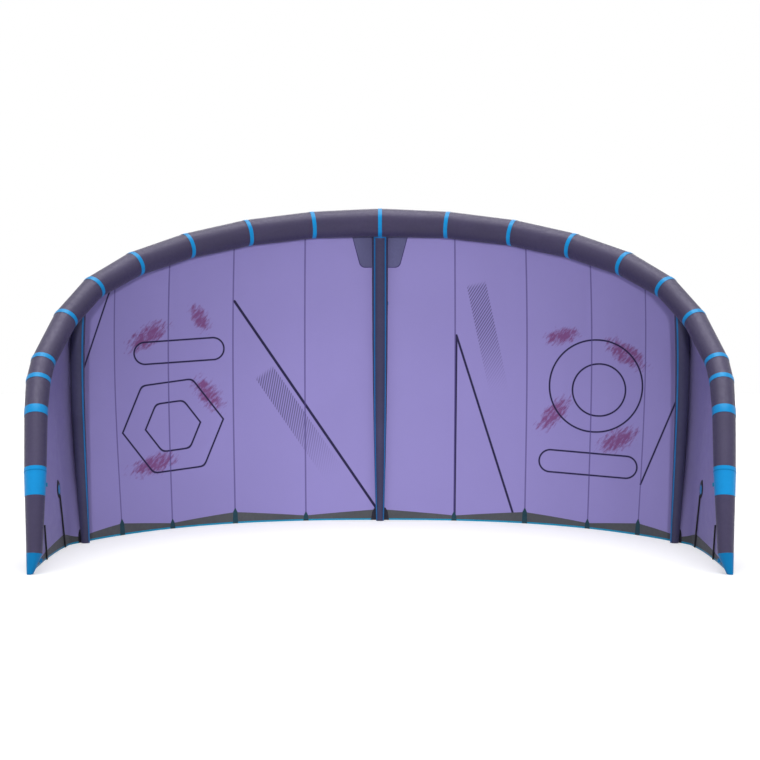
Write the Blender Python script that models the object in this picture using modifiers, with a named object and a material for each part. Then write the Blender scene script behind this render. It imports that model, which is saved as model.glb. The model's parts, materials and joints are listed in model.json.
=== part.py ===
"""Inflatable kitesurfing kite: a bent air tube, three air struts and a canopy of cambered panels.

Lengths are in metres and +Z is up. The kite stands on its trailing edge, strut ends and tips, and
-Y is the side where the rider's lines would be. Left and right are as seen from there.
"""

import math

import bmesh
import bpy
import numpy as np
from mathutils import Matrix, Vector

# Overall shape
HALF_WIDTH = 1.740
TUBE_HEIGHT = 1.932
TIP_REACH = 1.817
TUBE_DIAMETER = 0.182

# One row for each kink of the leading edge, from the centre to the tip: its place across, down and
# forward as shares of the half width, tube height and tip reach, and its share of the diameter.
EDGE_SHARES = (
    (0.000, 0.000, 0.000, 1.00),
    (0.251, 0.012, 0.026, 0.94),
    (0.482, 0.049, 0.103, 0.90),
    (0.677, 0.106, 0.215, 0.85),
    (0.827, 0.178, 0.351, 0.80),
    (0.925, 0.261, 0.483, 0.72),
    (0.978, 0.360, 0.601, 0.69),
    (1.000, 0.482, 0.736, 0.65),
    (0.996, 0.534, 0.786, 0.65),
    (0.980, 0.614, 0.849, 0.61),
    (0.957, 0.751, 0.918, 0.57),
    (0.949, 0.818, 0.943, 0.51),
    (0.936, 0.953, 0.984, 0.40),
    (0.942, 1.000, 1.000, 0.16),
)
TAPED_KINKS = 10
INNER_CASING_KINK = 3
OUTER_CASING_KINK = 8
BAND_TOP_KINK = 10
BAND_FOOT_KINK = 11
TIP_PATCH_KINK = 12
TUBE_SIDES = 16

# One row for each rib of the canopy, from the centre to the tip: where it leaves the tube as a
# share of the tube's half length, where it meets the ground across and forward, its camber as a
# share of its chord, and the angle round the tube where it leaves, as a share of a quarter turn.
RIB_SHARES = (
    (0.000, 0.000, 0.000, 0.090, 0.00),
    (0.125, 0.275, 0.019, 0.088, 0.03),
    (0.246, 0.527, 0.088, 0.080, 0.10),
    (0.360, 0.729, 0.210, 0.070, 0.22),
    (0.466, 0.867, 0.353, 0.060, 0.36),
    (0.570, 0.958, 0.496, 0.062, 0.44),
    (0.720, 0.985, 0.588, -0.020, 0.16),
    (0.860, 0.973, 0.788, 0.000, 0.00),
    (0.965, 0.951, 0.950, 0.000, 0.00),
)
SEAM_RIBS = (1, 2, 3, 4)
STRUT_RIB = 5
LONG_BATTEN_RIB = 6
SHORT_BATTEN_RIB = 7
TIP_RIB = 8
CHORD_SHARES = (0.0, 0.03, 0.07, 0.12, 0.18, 0.26, 0.36, 0.48, 0.60, 0.72, 0.86, 1.0)
CAMBER_SKEW_SHARE = 0.75
CAMBER_REAR_SHARE = 0.85
SMOOTHING_SHARE = 0.05
COLUMN_STEP_SHARE = 0.06
SEAT_STEP_SHARE = 0.005

# Cloth, bladder film and the gaps between layers
CLOTH_GAP = 0.0003
SEAM_GAP = 0.0005
CASING_WALL = 0.0012
BLADDER_WALL = 0.0006
TAPE_THICKNESS = 0.0008
TAPE_WIDTH = 0.026
CANOPY_THICKNESS = 0.0012
LAYER_THICKNESS = 0.0010

# Struts
MIDDLE_STRUT_TOP_DIAMETER = 0.106
MIDDLE_STRUT_FOOT_DIAMETER = 0.051
SIDE_STRUT_TOP_DIAMETER = 0.079
SIDE_STRUT_FOOT_DIAMETER = 0.046
STRUT_TAPER_POWER = 2.5
STRUT_SIDES = 12
STRUT_TOP_SHARE = 0.03
STRUT_BLADDER_TOP_SHARE = 0.20
STRUT_BLADDER_FOOT_SHARE = 0.97
STRUT_VALVE_SHARE = 0.26
STRUT_CUTTER_SHARE = 0.70

# Trailing edge band: its height at each rib, as shares of its greatest height
BAND_HEIGHT = 0.068
BAND_HEIGHT_SHARES = (1.0, 0.36, 0.90, 0.40, 0.95, 0.45, 1.0, 0.62, 0.18)

# Middle patch behind the middle strut
PATCH_TOP_WIDTH = 0.350
PATCH_FOOT_WIDTH = 0.262
PATCH_CORNER_WIDTH = 0.226
PATCH_CORNER_SHARE = 0.126
PATCH_FOOT_SHARE = 0.139
PATCH_COLUMN_SHARES = (-1.0, -0.5, 0.0, 0.5, 1.0)

# Battens: each has a pointed pocket end over a narrow sleeve that runs to the trailing edge
BATTEN_THICKNESS = 0.003
BATTEN_SLEEVE_WIDTH = 0.009
BATTEN_POCKET_WIDTH = 0.024
BATTEN_POINT_WIDTH = 0.004
LONG_BATTEN_TOP_SHARE = 0.60
SHORT_BATTEN_TOP_SHARE = 0.62
POCKET_POINT_LENGTH = 0.035
POCKET_LENGTH = 0.090

# Folded webbing tabs for the lines
TAB_LENGTH = 0.025
TAB_WIDTH = 0.020
TAB_THICKNESS = 0.003
TAB_ANGLE_SHARE = -1 / 3
TIP_TAB_SHARE = 0.982

# Valve in the leading edge: a seat, a screw collar and a push-in plug
VALVE_SHARE = 0.060
VALVE_ANGLE_SHARE = 0.5
SEAT_DIAMETER = 0.040
SEAT_BORE = 0.030
SEAT_DEPTH = 0.006
SEAT_RISE = 0.012
FLANGE_DIAMETER = 0.056
FLANGE_THICKNESS = 0.003
COLLAR_DIAMETER = 0.054
COLLAR_LIP = 0.003
COLLAR_BORE = 0.026
GRIP_DEPTH = 0.0012
GRIP_COUNT = 10
PLUG_LENGTH = 0.008
PLUG_CAP_DIAMETER = 0.036
PLUG_CAP_THICKNESS = 0.003
HOLE_GAP = 0.0003
TURN_STEPS = 20

# Valve in each strut: a seat and a push-in plug
STRUT_SEAT_DIAMETER = 0.016
STRUT_SEAT_BORE = 0.010
STRUT_SEAT_DEPTH = 0.005
STRUT_FLANGE_DIAMETER = 0.026
STRUT_FLANGE_THICKNESS = 0.0015
STRUT_PLUG_LENGTH = 0.006
STRUT_PLUG_CAP_DIAMETER = 0.018
STRUT_PLUG_CAP_THICKNESS = 0.002
STRUT_TURN_STEPS = 12

UP = Vector((0, 0, 1))
REAR = Vector((0, 1, 0))
LEFT, RIGHT = -1, 1
SIDE_NAMES = {LEFT: "left", RIGHT: "right"}
QUARTER_TURN = math.pi / 2
SHARP_ANGLE = math.radians(35)
MERGE_DISTANCE = 0.00001

# Sums of layers that several pieces share
TAPE_STACK = CLOTH_GAP + TAPE_THICKNESS
CANOPY_STAND_OFF = TAPE_STACK + CLOTH_GAP + CANOPY_THICKNESS / 2
INNER_FACE = -CANOPY_THICKNESS / 2
LAYER_FACE = INNER_FACE - CLOTH_GAP
STRUT_FACE = LAYER_FACE - LAYER_THICKNESS - CLOTH_GAP

# Colour of each material in display values, then its roughness
FINISHES = {
    "casing_cloth": ((70, 64, 92), 0.75),
    "blue_tape": ((42, 148, 222), 0.55),
    "canopy_cloth": ((134, 122, 184), 0.70),
    "grey_cloth": ((85, 85, 88), 0.75),
    "batten_cloth": ((16, 17, 24), 0.60),
    "bladder_film": ((214, 220, 224), 0.30),
    "valve_plastic": ((28, 29, 33), 0.40),
    "plug_plastic": ((42, 148, 222), 0.35),
}


def clear_scene():
    """Remove whatever objects the open file holds."""
    for existing in list(bpy.data.objects):
        bpy.data.objects.remove(existing, do_unlink=True)


def linear_colour(display_values):
    """Turn 0 to 255 display values into the linear colour that a shader takes."""
    shares = [value / 255 for value in display_values]
    return [s / 12.92 if s <= 0.04045 else ((s + 0.055) / 1.055) ** 2.4 for s in shares] + [1.0]


def make_material(name):
    """Make one Principled material from the table of finishes."""
    colour, roughness = FINISHES[name]
    material = bpy.data.materials.new(name)
    material.use_nodes = True
    shader = material.node_tree.nodes["Principled BSDF"]
    shader.inputs["Base Color"].default_value = linear_colour(colour)
    shader.inputs["Roughness"].default_value = roughness
    material.diffuse_color = linear_colour(colour)
    return material


class Workshop:
    """The collections, materials and parent empty that every piece of the kite is made with."""

    def __init__(self):
        clear_scene()
        self.parts = bpy.data.collections.new("kitesurfing_kite")
        self.cutters = bpy.data.collections.new("cutters")
        for collection in (self.parts, self.cutters):
            bpy.context.scene.collection.children.link(collection)
        self.materials = {name: make_material(name) for name in FINISHES}
        self.frame = bpy.data.objects.new("kite_frame", None)
        self.parts.objects.link(self.frame)

    def part(self, name, mesh, material, placement=None):
        """Add a named piece to the kite, parented to the kite's frame."""
        piece = bpy.data.objects.new(name, mesh)
        mesh.materials.append(self.materials[material])
        self.parts.objects.link(piece)
        piece.parent = self.frame
        piece.matrix_basis = placement or Matrix.Identity(4)
        return piece

    def cutter(self, name, mesh, placement=None):
        """Add a shape that only cuts or joins pieces."""
        shape = bpy.data.objects.new(name, mesh)
        self.cutters.objects.link(shape)
        shape.parent = self.frame
        shape.matrix_basis = placement or Matrix.Identity(4)
        shape.hide_render = True
        shape.display_type = "WIRE"
        return shape


def add_boolean(piece, other, operation="DIFFERENCE"):
    """Cut another shape from a piece, or join it on."""
    modifier = piece.modifiers.new(other.name, "BOOLEAN")
    modifier.operation = operation
    modifier.solver = "EXACT"
    modifier.object = other


def mesh_from(name, work):
    """Turn a bmesh into a mesh whose faces all point outward."""
    bmesh.ops.recalc_face_normals(work, faces=work.faces)
    mesh = bpy.data.meshes.new(name)
    work.to_mesh(mesh)
    work.free()
    mesh.shade_smooth()
    mesh.set_sharp_from_angle(angle=SHARP_ANGLE)
    return mesh


def skin_rings(work, rings):
    """Join neighbouring rings of vertices with quads."""
    for near, far in zip(rings, rings[1:]):
        for i in range(len(near)):
            j = (i + 1) % len(near)
            work.faces.new((near[i], near[j], far[j], far[i]))


def lofted_wall(name, outer, inner=None, closed=(True, True)):
    """Loft a tube wall between outer and inner rings; without inner rings it is solid.

    A closed end has a cap on each surface, and an open one has a rim between them.
    """
    work = bmesh.new()
    skins = [[[work.verts.new(p) for p in ring] for ring in rings] for rings in (outer, inner or [])]
    for rings in skins:
        skin_rings(work, rings)
    for end, is_closed in zip((0, -1), closed):
        if is_closed or not inner:
            for rings in filter(None, skins):
                work.faces.new(rings[end])
        else:
            skin_rings(work, [skins[0][end], skins[1][end]])
    return mesh_from(name, work)


def diagonal_is_main(corners, outward, is_ridge):
    """Say whether a cell is split from its first to its third corner, as a ridge or a valley."""
    main_middle = (corners[0] + corners[2]) / 2
    other_middle = (corners[1] + corners[3]) / 2
    return ((main_middle - other_middle).dot(outward) >= 0) == is_ridge


def slab(name, upper, lower, is_ridge):
    """Close the space between two equal grids of points into a thin solid."""
    work = bmesh.new()
    rows, columns = len(upper), len(upper[0])
    faces = [[[work.verts.new(p) for p in row] for row in grid] for grid in (upper, lower)]
    for j in range(rows - 1):
        for i in range(columns - 1):
            places = ((j, i), (j, i + 1), (j + 1, i + 1), (j + 1, i))
            outward = upper[j][i] - lower[j][i]
            is_main = diagonal_is_main([upper[l][k] for l, k in places], outward, is_ridge)
            for grid in faces:
                a, b, c, d = (grid[l][k] for l, k in places)
                for triangle in ((a, b, c), (a, c, d)) if is_main else ((a, b, d), (b, c, d)):
                    work.faces.new(triangle)
    rim = [(0, i) for i in range(columns)] + [(j, columns - 1) for j in range(1, rows)]
    rim += [(rows - 1, i) for i in range(columns - 2, -1, -1)] + [(j, 0) for j in range(rows - 2, 0, -1)]
    for (j, i), (l, k) in zip(rim, rim[1:] + rim[:1]):
        work.faces.new((faces[0][j][i], faces[0][l][k], faces[1][l][k], faces[1][j][i]))
    return mesh_from(name, work)


def turned(name, profile):
    """Draw half the cross-section of a turned shape from radius and height pairs, down its outer side."""
    work = bmesh.new()
    corners = [work.verts.new((radius, 0, height)) for radius, height in profile]
    closed = all(radius > 0 for radius, _ in profile)
    for near, far in zip(corners, corners[1:] + corners[:1] if closed else corners[1:]):
        work.edges.new((near, far))
    mesh = bpy.data.meshes.new(name)
    work.to_mesh(mesh)
    work.free()
    return mesh


def add_turn(piece, steps):
    """Sweep a piece's profile round its own Z axis."""
    modifier = piece.modifiers.new("turn", "SCREW")
    modifier.axis = "Z"
    modifier.angle = 4 * QUARTER_TURN
    modifier.steps = steps
    modifier.render_steps = steps
    modifier.use_merge_vertices = True
    modifier.merge_threshold = MERGE_DISTANCE
    modifier.use_smooth_shade = False


def axes_matrix(x_axis, y_axis, z_axis):
    """Build a turn from three square directions."""
    return Matrix((x_axis, y_axis, z_axis)).transposed().to_4x4()


def seat_on_rings(ring, centre, share, number):
    """Place a frame on a tube at one numbered point of its ring: X along the tube, Z outward."""
    before, point, after = (ring(share + step)[number] for step in (-SEAT_STEP_SHARE, 0, SEAT_STEP_SHARE))
    along = (after - before).normalized()
    spoke = point - centre(share)
    out = (spoke - spoke.dot(along) * along).normalized()
    return Matrix.Translation(point) @ axes_matrix(along, out.cross(along), out)


class LeadingEdge:
    """The bent, tapering tube: straight runs that meet at mitred kinks.

    A place along it is a signed share of its half length: -1 is the left tip, 0 the centre and 1
    the right tip.
    """

    def __init__(self):
        half = [self.kink(row) for row in EDGE_SHARES]
        runs = [(b - a).length for a, b in zip(half, half[1:])]
        self.half_length = sum(runs)
        self.kink_shares = [sum(runs[:k]) / self.half_length for k in range(len(half))]
        radii = [row[3] * TUBE_DIAMETER / 2 for row in EDGE_SHARES]
        mirrored = [Vector((-p.x, p.y, p.z)) for p in half[:0:-1]]
        self.centres = mirrored + half
        self.radii = radii[:0:-1] + radii
        self.shares = [-share for share in self.kink_shares[:0:-1]] + self.kink_shares
        self.rings = [self.mitred_ring(k) for k in range(len(self.centres))]

    @staticmethod
    def kink(row):
        """Place one kink of the right half."""
        across, down, forward, _ = row
        return Vector((across * HALF_WIDTH, -forward * TIP_REACH, (1 - down) * TUBE_HEIGHT))

    def directions(self, k):
        """Give the tube's direction before and after a kink."""
        last = len(self.centres) - 1
        before = self.centres[max(k, 1)] - self.centres[max(k, 1) - 1]
        after = self.centres[min(k, last - 1) + 1] - self.centres[min(k, last - 1)]
        return before.normalized(), after.normalized()

    def mitred_ring(self, k):
        """Make the tube's cross-section in the plane that halves a kink; tips are cut level."""
        before, after = self.directions(k)
        along = (before + after).normalized()
        rear, outward = self.axes(along)
        bend = after - before
        stretch = 1 / along.dot(before) - 1
        ring = []
        for i in range(TUBE_SIDES):
            angle = 4 * QUARTER_TURN * i / TUBE_SIDES
            spoke = self.radii[k] * (math.cos(angle) * rear + math.sin(angle) * outward)
            if bend.length > 0:
                spoke += stretch * spoke.dot(bend.normalized()) * bend.normalized()
            if k in (0, len(self.centres) - 1):
                spoke -= along * spoke.z / along.z
            ring.append(self.centres[k] + spoke)
        return ring

    @staticmethod
    def axes(along):
        """Give the directions to the tube's rear and to its outer side, square to its run."""
        rear = (REAR - REAR.dot(along) * along).normalized()
        return rear, along.cross(rear)

    def find(self, share):
        """Find the run that a share lies on, and how far along that run it is."""
        k = min(max(int(np.searchsorted(self.shares, share, side="right")) - 1, 0), len(self.shares) - 2)
        return k, (share - self.shares[k]) / (self.shares[k + 1] - self.shares[k])

    def centre(self, share):
        """Give the middle line's point at a share."""
        k, part = self.find(share)
        return self.centres[k].lerp(self.centres[k + 1], part)

    def along(self, share):
        """Give the tube's direction at a share, evened out over its kinks."""
        low = self.centre(max(share - SMOOTHING_SHARE, -1))
        high = self.centre(min(share + SMOOTHING_SHARE, 1))
        return (high - low).normalized()

    def ring(self, share, depth=0.0):
        """Give the cross-section at a share, moved out from the casing's surface by a depth."""
        k, part = self.find(share)
        centre = self.centre(share)
        points = [a.lerp(b, part) for a, b in zip(self.rings[k], self.rings[k + 1])]
        return [p + (p - centre).normalized() * depth for p in points]

    def reach(self, share, direction):
        """Give how far the casing reaches from its middle line in a direction."""
        centre = self.centre(share)
        return max((p - centre).dot(direction) for p in self.ring(share))

    def stations(self, start, end):
        """List a stretch's two ends and the kinks between them."""
        return [start] + [share for share in self.shares if start < share < end] + [end]

    def spoke(self, share, quarter_share):
        """Give the direction out of the tube at an angle from its rear toward its outer side."""
        rear, outward = self.axes(self.along(share))
        angle = quarter_share * QUARTER_TURN
        return math.cos(angle) * rear + math.sin(angle) * outward

    def seat(self, share, quarter_share, depth=0.0):
        """Give a placement on the casing: X along the tube and Z out of its surface."""
        number = round(quarter_share * TUBE_SIDES / 4)
        return seat_on_rings(lambda s: self.ring(s, depth), self.centre, share, number)

    def wall(self, name, start, end, inner_depth, outer_depth, closed=(False, False), cap=0.0):
        """Make a stretch of tube wall between two depths; closed ends have caps of a thickness."""
        stations = self.stations(start, end)
        cap_share = cap / self.half_length
        inner_stations = list(stations)
        inner_stations[0] += cap_share if closed[0] else 0
        inner_stations[-1] -= cap_share if closed[1] else 0
        outer = [self.ring(share, outer_depth) for share in stations]
        inner = [self.ring(share, inner_depth) for share in inner_stations]
        return lofted_wall(name, outer, inner, closed)

    def solid(self, name, start, end, depth):
        """Make a stretch of the tube as a solid rod."""
        return lofted_wall(name, [self.ring(share, depth) for share in self.stations(start, end)])


def smooth_value(positions, values, position):
    """Read a smooth curve through the values at a position."""
    k = min(max(int(np.searchsorted(positions, position, side="right")) - 1, 0), len(positions) - 2)
    slopes = np.gradient(values, positions)
    span = positions[k + 1] - positions[k]
    t = (position - positions[k]) / span
    start = (1 + 2 * t) * (1 - t) ** 2 * values[k] + t * (1 - t) ** 2 * span * slopes[k]
    return float(start + t * t * (3 - 2 * t) * values[k + 1] + t * t * (t - 1) * span * slopes[k + 1])


class Canopy:
    """The cambered cloth surface, as a grid of points and normals that every layer follows.

    A place on it is a signed share along the leading edge and a share of the chord, 0 at the
    leading edge and 1 at the trailing edge. Depth is measured out of the kite's hollow side.
    """

    def __init__(self, edge):
        self.edge = edge
        tip = RIB_SHARES[TIP_RIB][0]
        main = sorted({row[0] for row in RIB_SHARES} | {share for share in edge.kink_shares if share < tip})
        half = set(main)
        for near, far in zip(main, main[1:]):
            parts = math.ceil((far - near) / COLUMN_STEP_SHARE)
            half |= {near + (far - near) * part / parts for part in range(1, parts)}
        self.columns = sorted({-share for share in half} | half)
        self.rows = list(CHORD_SHARES)
        self.points = np.array([[self.rib_point(share, v) for share in self.columns] for v in self.rows])
        self.normals = self.grid_normals()

    def rib_values(self, share):
        """Read where a rib meets the ground, its camber and its angle round the tube."""
        positions = [-row[0] for row in RIB_SHARES[:0:-1]] + [row[0] for row in RIB_SHARES]
        result = []
        for column, is_odd in ((1, True), (2, False), (3, False), (4, False)):
            half = [row[column] for row in RIB_SHARES]
            mirrored = [-value if is_odd else value for value in half[:0:-1]]
            result.append(smooth_value(positions, mirrored + half, share))
        return result

    def foot(self, share):
        """Give the point of the trailing edge on the rib that leaves the tube at a share."""
        across, forward = self.rib_values(share)[:2]
        return Vector((across * HALF_WIDTH, -forward * TIP_REACH, 0))

    def rib_point(self, share, v):
        """Place a point of the middle surface on the rib that leaves the tube at a share."""
        camber, quarter_share = self.rib_values(share)[2:]
        spoke = self.edge.spoke(share, quarter_share)
        top = self.edge.centre(share) + spoke * (self.edge.reach(share, spoke) + CANOPY_STAND_OFF)
        foot = self.foot(share)
        chord = foot - top
        foot_run = self.foot(share + SMOOTHING_SHARE / 2) - self.foot(share - SMOOTHING_SHARE / 2)
        spanwise = self.edge.along(share) + foot_run.normalized()
        backward = (spanwise.cross(chord).normalized() + CAMBER_REAR_SHARE * REAR).normalized()
        bulge = camber * chord.length * math.sin(math.pi * v**CAMBER_SKEW_SHARE)
        return top + v * chord + bulge * backward

    def grid_normals(self):
        """Work out the surface's normals, which are level along the trailing edge."""
        spanwise = np.gradient(self.points, axis=1)
        chordwise = np.gradient(self.points, axis=0)
        normals = np.cross(spanwise, chordwise)
        normals[-1, :, 2] = 0
        return normals / np.linalg.norm(normals, axis=2, keepdims=True)

    def weights(self, share, v):
        """Find the cell at a place, and how much each corner of its triangle counts there."""
        i = min(max(int(np.searchsorted(self.columns, share, side="right")) - 1, 0), len(self.columns) - 2)
        j = min(max(int(np.searchsorted(self.rows, v, side="right")) - 1, 0), len(self.rows) - 2)
        a = (share - self.columns[i]) / (self.columns[i + 1] - self.columns[i])
        b = (v - self.rows[j]) / (self.rows[j + 1] - self.rows[j])
        places = ((j, i), (j, i + 1), (j + 1, i + 1), (j + 1, i))
        corners = [Vector(self.points[place]) for place in places]
        if diagonal_is_main(corners, Vector(self.normals[j, i]), True):
            parts = (1 - a, a - b, b, 0) if a >= b else (1 - b, 0, a, b - a)
        else:
            parts = (1 - a - b, a, 0, b) if a + b <= 1 else (0, 1 - b, a + b - 1, 1 - a)
        return places, parts

    def blend(self, grid, share, v):
        """Read a grid between its rows and columns, on the triangles that the cloth is made of."""
        return Vector(sum(part * grid[place] for place, part in zip(*self.weights(share, v))))

    def normal(self, share, v):
        """Give the surface's outward normal at a place."""
        return self.blend(self.normals, share, v).normalized()

    def point(self, share, v, depth=0.0):
        """Give the surface's point at a place, moved outward by a depth."""
        return self.blend(self.points, share, v) + depth * self.blend(self.normals, share, v)

    def chord_length(self, share):
        """Give the straight distance from the leading edge to the trailing edge."""
        return (self.point(share, 1) - self.point(share, 0)).length

    def layer(self, name, places, outer_depth, thickness, is_ridge=False):
        """Make a cloth layer over a grid of places, reaching inward from a depth."""
        upper = [[self.point(share, v, outer_depth) for share, v in row] for row in places]
        lower = [[self.point(share, v, outer_depth - thickness) for share, v in row] for row in places]
        return slab(name, upper, lower, is_ridge)

    def columns_between(self, start, end):
        """List a stretch's two ends and the grid columns between them."""
        return [start] + [share for share in self.columns if start < share < end] + [end]


def side_name(base, side):
    """Name a piece for its side of the kite."""
    return f"{base}_{SIDE_NAMES[side]}"


def ordered(side, near, far):
    """Put two distances from the centre in order along the whole edge."""
    return (near, far) if side == RIGHT else (-far, -near)


def make_casing(shop, edge):
    """Sew the tube's casing from five lengths, open at their ends, and return the middle one."""
    gap = SEAM_GAP / 2 / edge.half_length
    kinks = edge.kink_shares
    inner, outer, tip = kinks[INNER_CASING_KINK], kinks[OUTER_CASING_KINK], kinks[TIP_PATCH_KINK]
    mesh = edge.wall("leading_edge_casing_middle", gap - inner, inner - gap, -CASING_WALL, 0)
    middle = shop.part("leading_edge_casing_middle", mesh, "casing_cloth")
    for side in (LEFT, RIGHT):
        for base, near, far in (("inner", inner, outer), ("outer", outer, tip)):
            start, end = ordered(side, near + gap, far - gap)
            name = side_name(f"leading_edge_casing_{base}", side)
            shop.part(name, edge.wall(name, start, end, -CASING_WALL, 0), "casing_cloth")
    return middle


def make_tapes(shop, edge):
    """Wrap a seam tape round each kink of the casing."""
    half_width = TAPE_WIDTH / 2 / edge.half_length
    places = [("seam_tape_middle", 0.0)]
    for side in (LEFT, RIGHT):
        for number in range(1, TAPED_KINKS):
            places.append((f"{side_name('seam_tape', side)}_{number}", side * edge.kink_shares[number]))
    for name, share in places:
        mesh = edge.wall(name, share - half_width, share + half_width, CLOTH_GAP, TAPE_STACK)
        shop.part(name, mesh, "blue_tape")


def make_tab(shop, edge, name, share, foot_depth):
    """Make a folded webbing tab that stands out of the tube's rear, away from the canopy."""
    work = bmesh.new()
    bmesh.ops.create_cube(work, size=1)
    bmesh.ops.translate(work, verts=work.verts, vec=UP / 2)
    bmesh.ops.scale(work, verts=work.verts, vec=(TAB_WIDTH, TAB_THICKNESS, TAB_LENGTH))
    return shop.cutter(name, mesh_from(name, work), edge.seat(share, TAB_ANGLE_SHARE, foot_depth))


def make_line_patches(shop, edge):
    """Make the wide bands for the front lines and the closed tips for the back lines."""
    kinks = edge.kink_shares
    gap = SEAM_GAP / 2 / edge.half_length
    for side in (LEFT, RIGHT):
        start, end = ordered(side, kinks[BAND_TOP_KINK], kinks[BAND_FOOT_KINK])
        name = side_name("front_line_band", side)
        band = shop.part(name, edge.wall(name, start, end, CLOTH_GAP, TAPE_STACK), "blue_tape")
        tab = make_tab(shop, edge, f"{name}_tab", (start + end) / 2, CLOTH_GAP + TAPE_THICKNESS / 2)
        add_boolean(band, tab, "UNION")
        start, end = ordered(side, kinks[TIP_PATCH_KINK] + gap, 1)
        name = side_name("tip_patch", side)
        closed = (side == LEFT, side == RIGHT)
        mesh = edge.wall(name, start, end, -CASING_WALL, 0, closed, CASING_WALL)
        patch = shop.part(name, mesh, "blue_tape")
        tab = make_tab(shop, edge, f"{name}_tab", side * TIP_TAB_SHARE, -CASING_WALL / 2)
        add_boolean(patch, tab, "UNION")


def make_edge_bladder(shop, edge):
    """Make the air bladder that fills the casing from tip to tip."""
    outer = -CASING_WALL - CLOTH_GAP
    end = edge.kink_shares[TIP_PATCH_KINK]
    closed = (True, True)
    mesh = edge.wall("bladder", -end, end, outer - BLADDER_WALL, outer, closed, BLADDER_WALL)
    return shop.part("leading_edge_bladder", mesh, "bladder_film")


class Strut:
    """An air strut along one rib, on the hollow side of the canopy."""

    def __init__(self, canopy, share, top_diameter, foot_diameter):
        self.canopy = canopy
        self.share = share
        self.top_diameter = top_diameter
        self.foot_diameter = foot_diameter

    def radius(self, v):
        """Give the strut's radius at a share of the chord, tapering straight from row to row."""
        part = float(np.interp(v, CHORD_SHARES, [share**STRUT_TAPER_POWER for share in CHORD_SHARES]))
        return ((1 - part) * self.top_diameter + part * self.foot_diameter) / 2

    def centre(self, v):
        """Give the strut's middle line, one radius below the layers under the canopy."""
        return self.canopy.point(self.share, v, STRUT_FACE - self.radius(v))

    def frame(self, v):
        """Give the directions to the canopy and across the strut."""
        back = self.canopy.normal(self.share, v)
        step = SMOOTHING_SHARE / 2
        run = self.centre(min(v + step, 1)) - self.centre(max(v - step, 0))
        across = run.cross(back)
        across.z = 0 if v == 1 else across.z
        return back, across.normalized()

    def ring(self, v, depth):
        """Give the strut's cross-section, moved out from its casing's surface by a depth."""
        back, across = self.frame(v)
        radius = self.radius(v) + depth
        turns = [4 * QUARTER_TURN * i / STRUT_SIDES for i in range(STRUT_SIDES)]
        return [self.centre(v) + radius * (math.cos(a) * back + math.sin(a) * across) for a in turns]

    def seat(self, v, side):
        """Give a placement on the casing's side: X along the strut and Z out of its surface."""
        return seat_on_rings(lambda u: self.ring(u, 0), self.centre, v, side * STRUT_SIDES // 4)

    def wall(self, name, start, end, outer_depth, thickness, top_closed):
        """Make a stretch of the strut's wall, closed at its foot."""
        places = [start] + [v for v in CHORD_SHARES if start < v < end] + [end]
        cap = thickness / self.canopy.chord_length(self.share)
        inner_places = list(places)
        inner_places[0] += cap if top_closed else 0
        inner_places[-1] -= cap
        outer = [self.ring(v, outer_depth) for v in places]
        inner = [self.ring(v, outer_depth - thickness) for v in inner_places]
        return lofted_wall(name, outer, inner, (top_closed, True))


def round_rod(name, diameter, bottom, top, steps):
    """Make a solid cylinder along Z."""
    work = bmesh.new()
    radius = diameter / 2
    bmesh.ops.create_cone(
        work, cap_ends=True, segments=steps, radius1=radius, radius2=radius, depth=top - bottom
    )
    bmesh.ops.translate(work, verts=work.verts, vec=UP * (top + bottom) / 2)
    return mesh_from(name, work)


def make_edge_valve(shop, edge, casing, bladder):
    """Fit the leading edge's valve: its hole, seat, screw collar and plug."""
    placement = edge.seat(VALVE_SHARE, VALVE_ANGLE_SHARE)
    hole = round_rod("valve_hole", SEAT_DIAMETER + 2 * HOLE_GAP, -SEAT_DEPTH, SEAT_RISE, TURN_STEPS)
    cutter = shop.cutter("valve_hole_cutter", hole, placement)
    add_boolean(casing, cutter)
    add_boolean(bladder, cutter)

    seat, bore = SEAT_DIAMETER / 2, SEAT_BORE / 2
    flange_bottom = CLOTH_GAP
    flange_top = flange_bottom + FLANGE_THICKNESS
    seat_profile = (
        (bore, SEAT_RISE),
        (seat, SEAT_RISE),
        (seat, flange_top),
        (FLANGE_DIAMETER / 2, flange_top),
        (FLANGE_DIAMETER / 2, flange_bottom),
        (seat, flange_bottom),
        (seat, -SEAT_DEPTH),
        (bore, -SEAT_DEPTH),
    )
    mesh = turned("valve_seat", seat_profile)
    add_turn(shop.part("valve_seat", mesh, "valve_plastic", placement), TURN_STEPS)

    collar_foot = flange_top + HOLE_GAP
    lip_foot = SEAT_RISE + HOLE_GAP
    collar_top = lip_foot + COLLAR_LIP
    collar_profile = (
        (COLLAR_BORE / 2, collar_top),
        (COLLAR_DIAMETER / 2, collar_top),
        (COLLAR_DIAMETER / 2, collar_foot),
        (seat + HOLE_GAP, collar_foot),
        (seat + HOLE_GAP, lip_foot),
        (COLLAR_BORE / 2, lip_foot),
    )
    mesh = turned("valve_collar", collar_profile)
    collar = shop.part("valve_collar", mesh, "valve_plastic", placement)
    add_turn(collar, TURN_STEPS)
    cut_grips(shop, collar, collar_foot, collar_top)

    plug = COLLAR_BORE / 2 - HOLE_GAP
    cap_foot = collar_top + HOLE_GAP
    cap_top = cap_foot + PLUG_CAP_THICKNESS
    plug_profile = (
        (0, cap_top),
        (PLUG_CAP_DIAMETER / 2, cap_top),
        (PLUG_CAP_DIAMETER / 2, cap_foot),
        (plug, cap_foot),
        (plug, cap_foot - PLUG_LENGTH),
        (0, cap_foot - PLUG_LENGTH),
    )
    mesh = turned("valve_plug", plug_profile)
    add_turn(shop.part("valve_plug", mesh, "plug_plastic", placement), TURN_STEPS)


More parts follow.
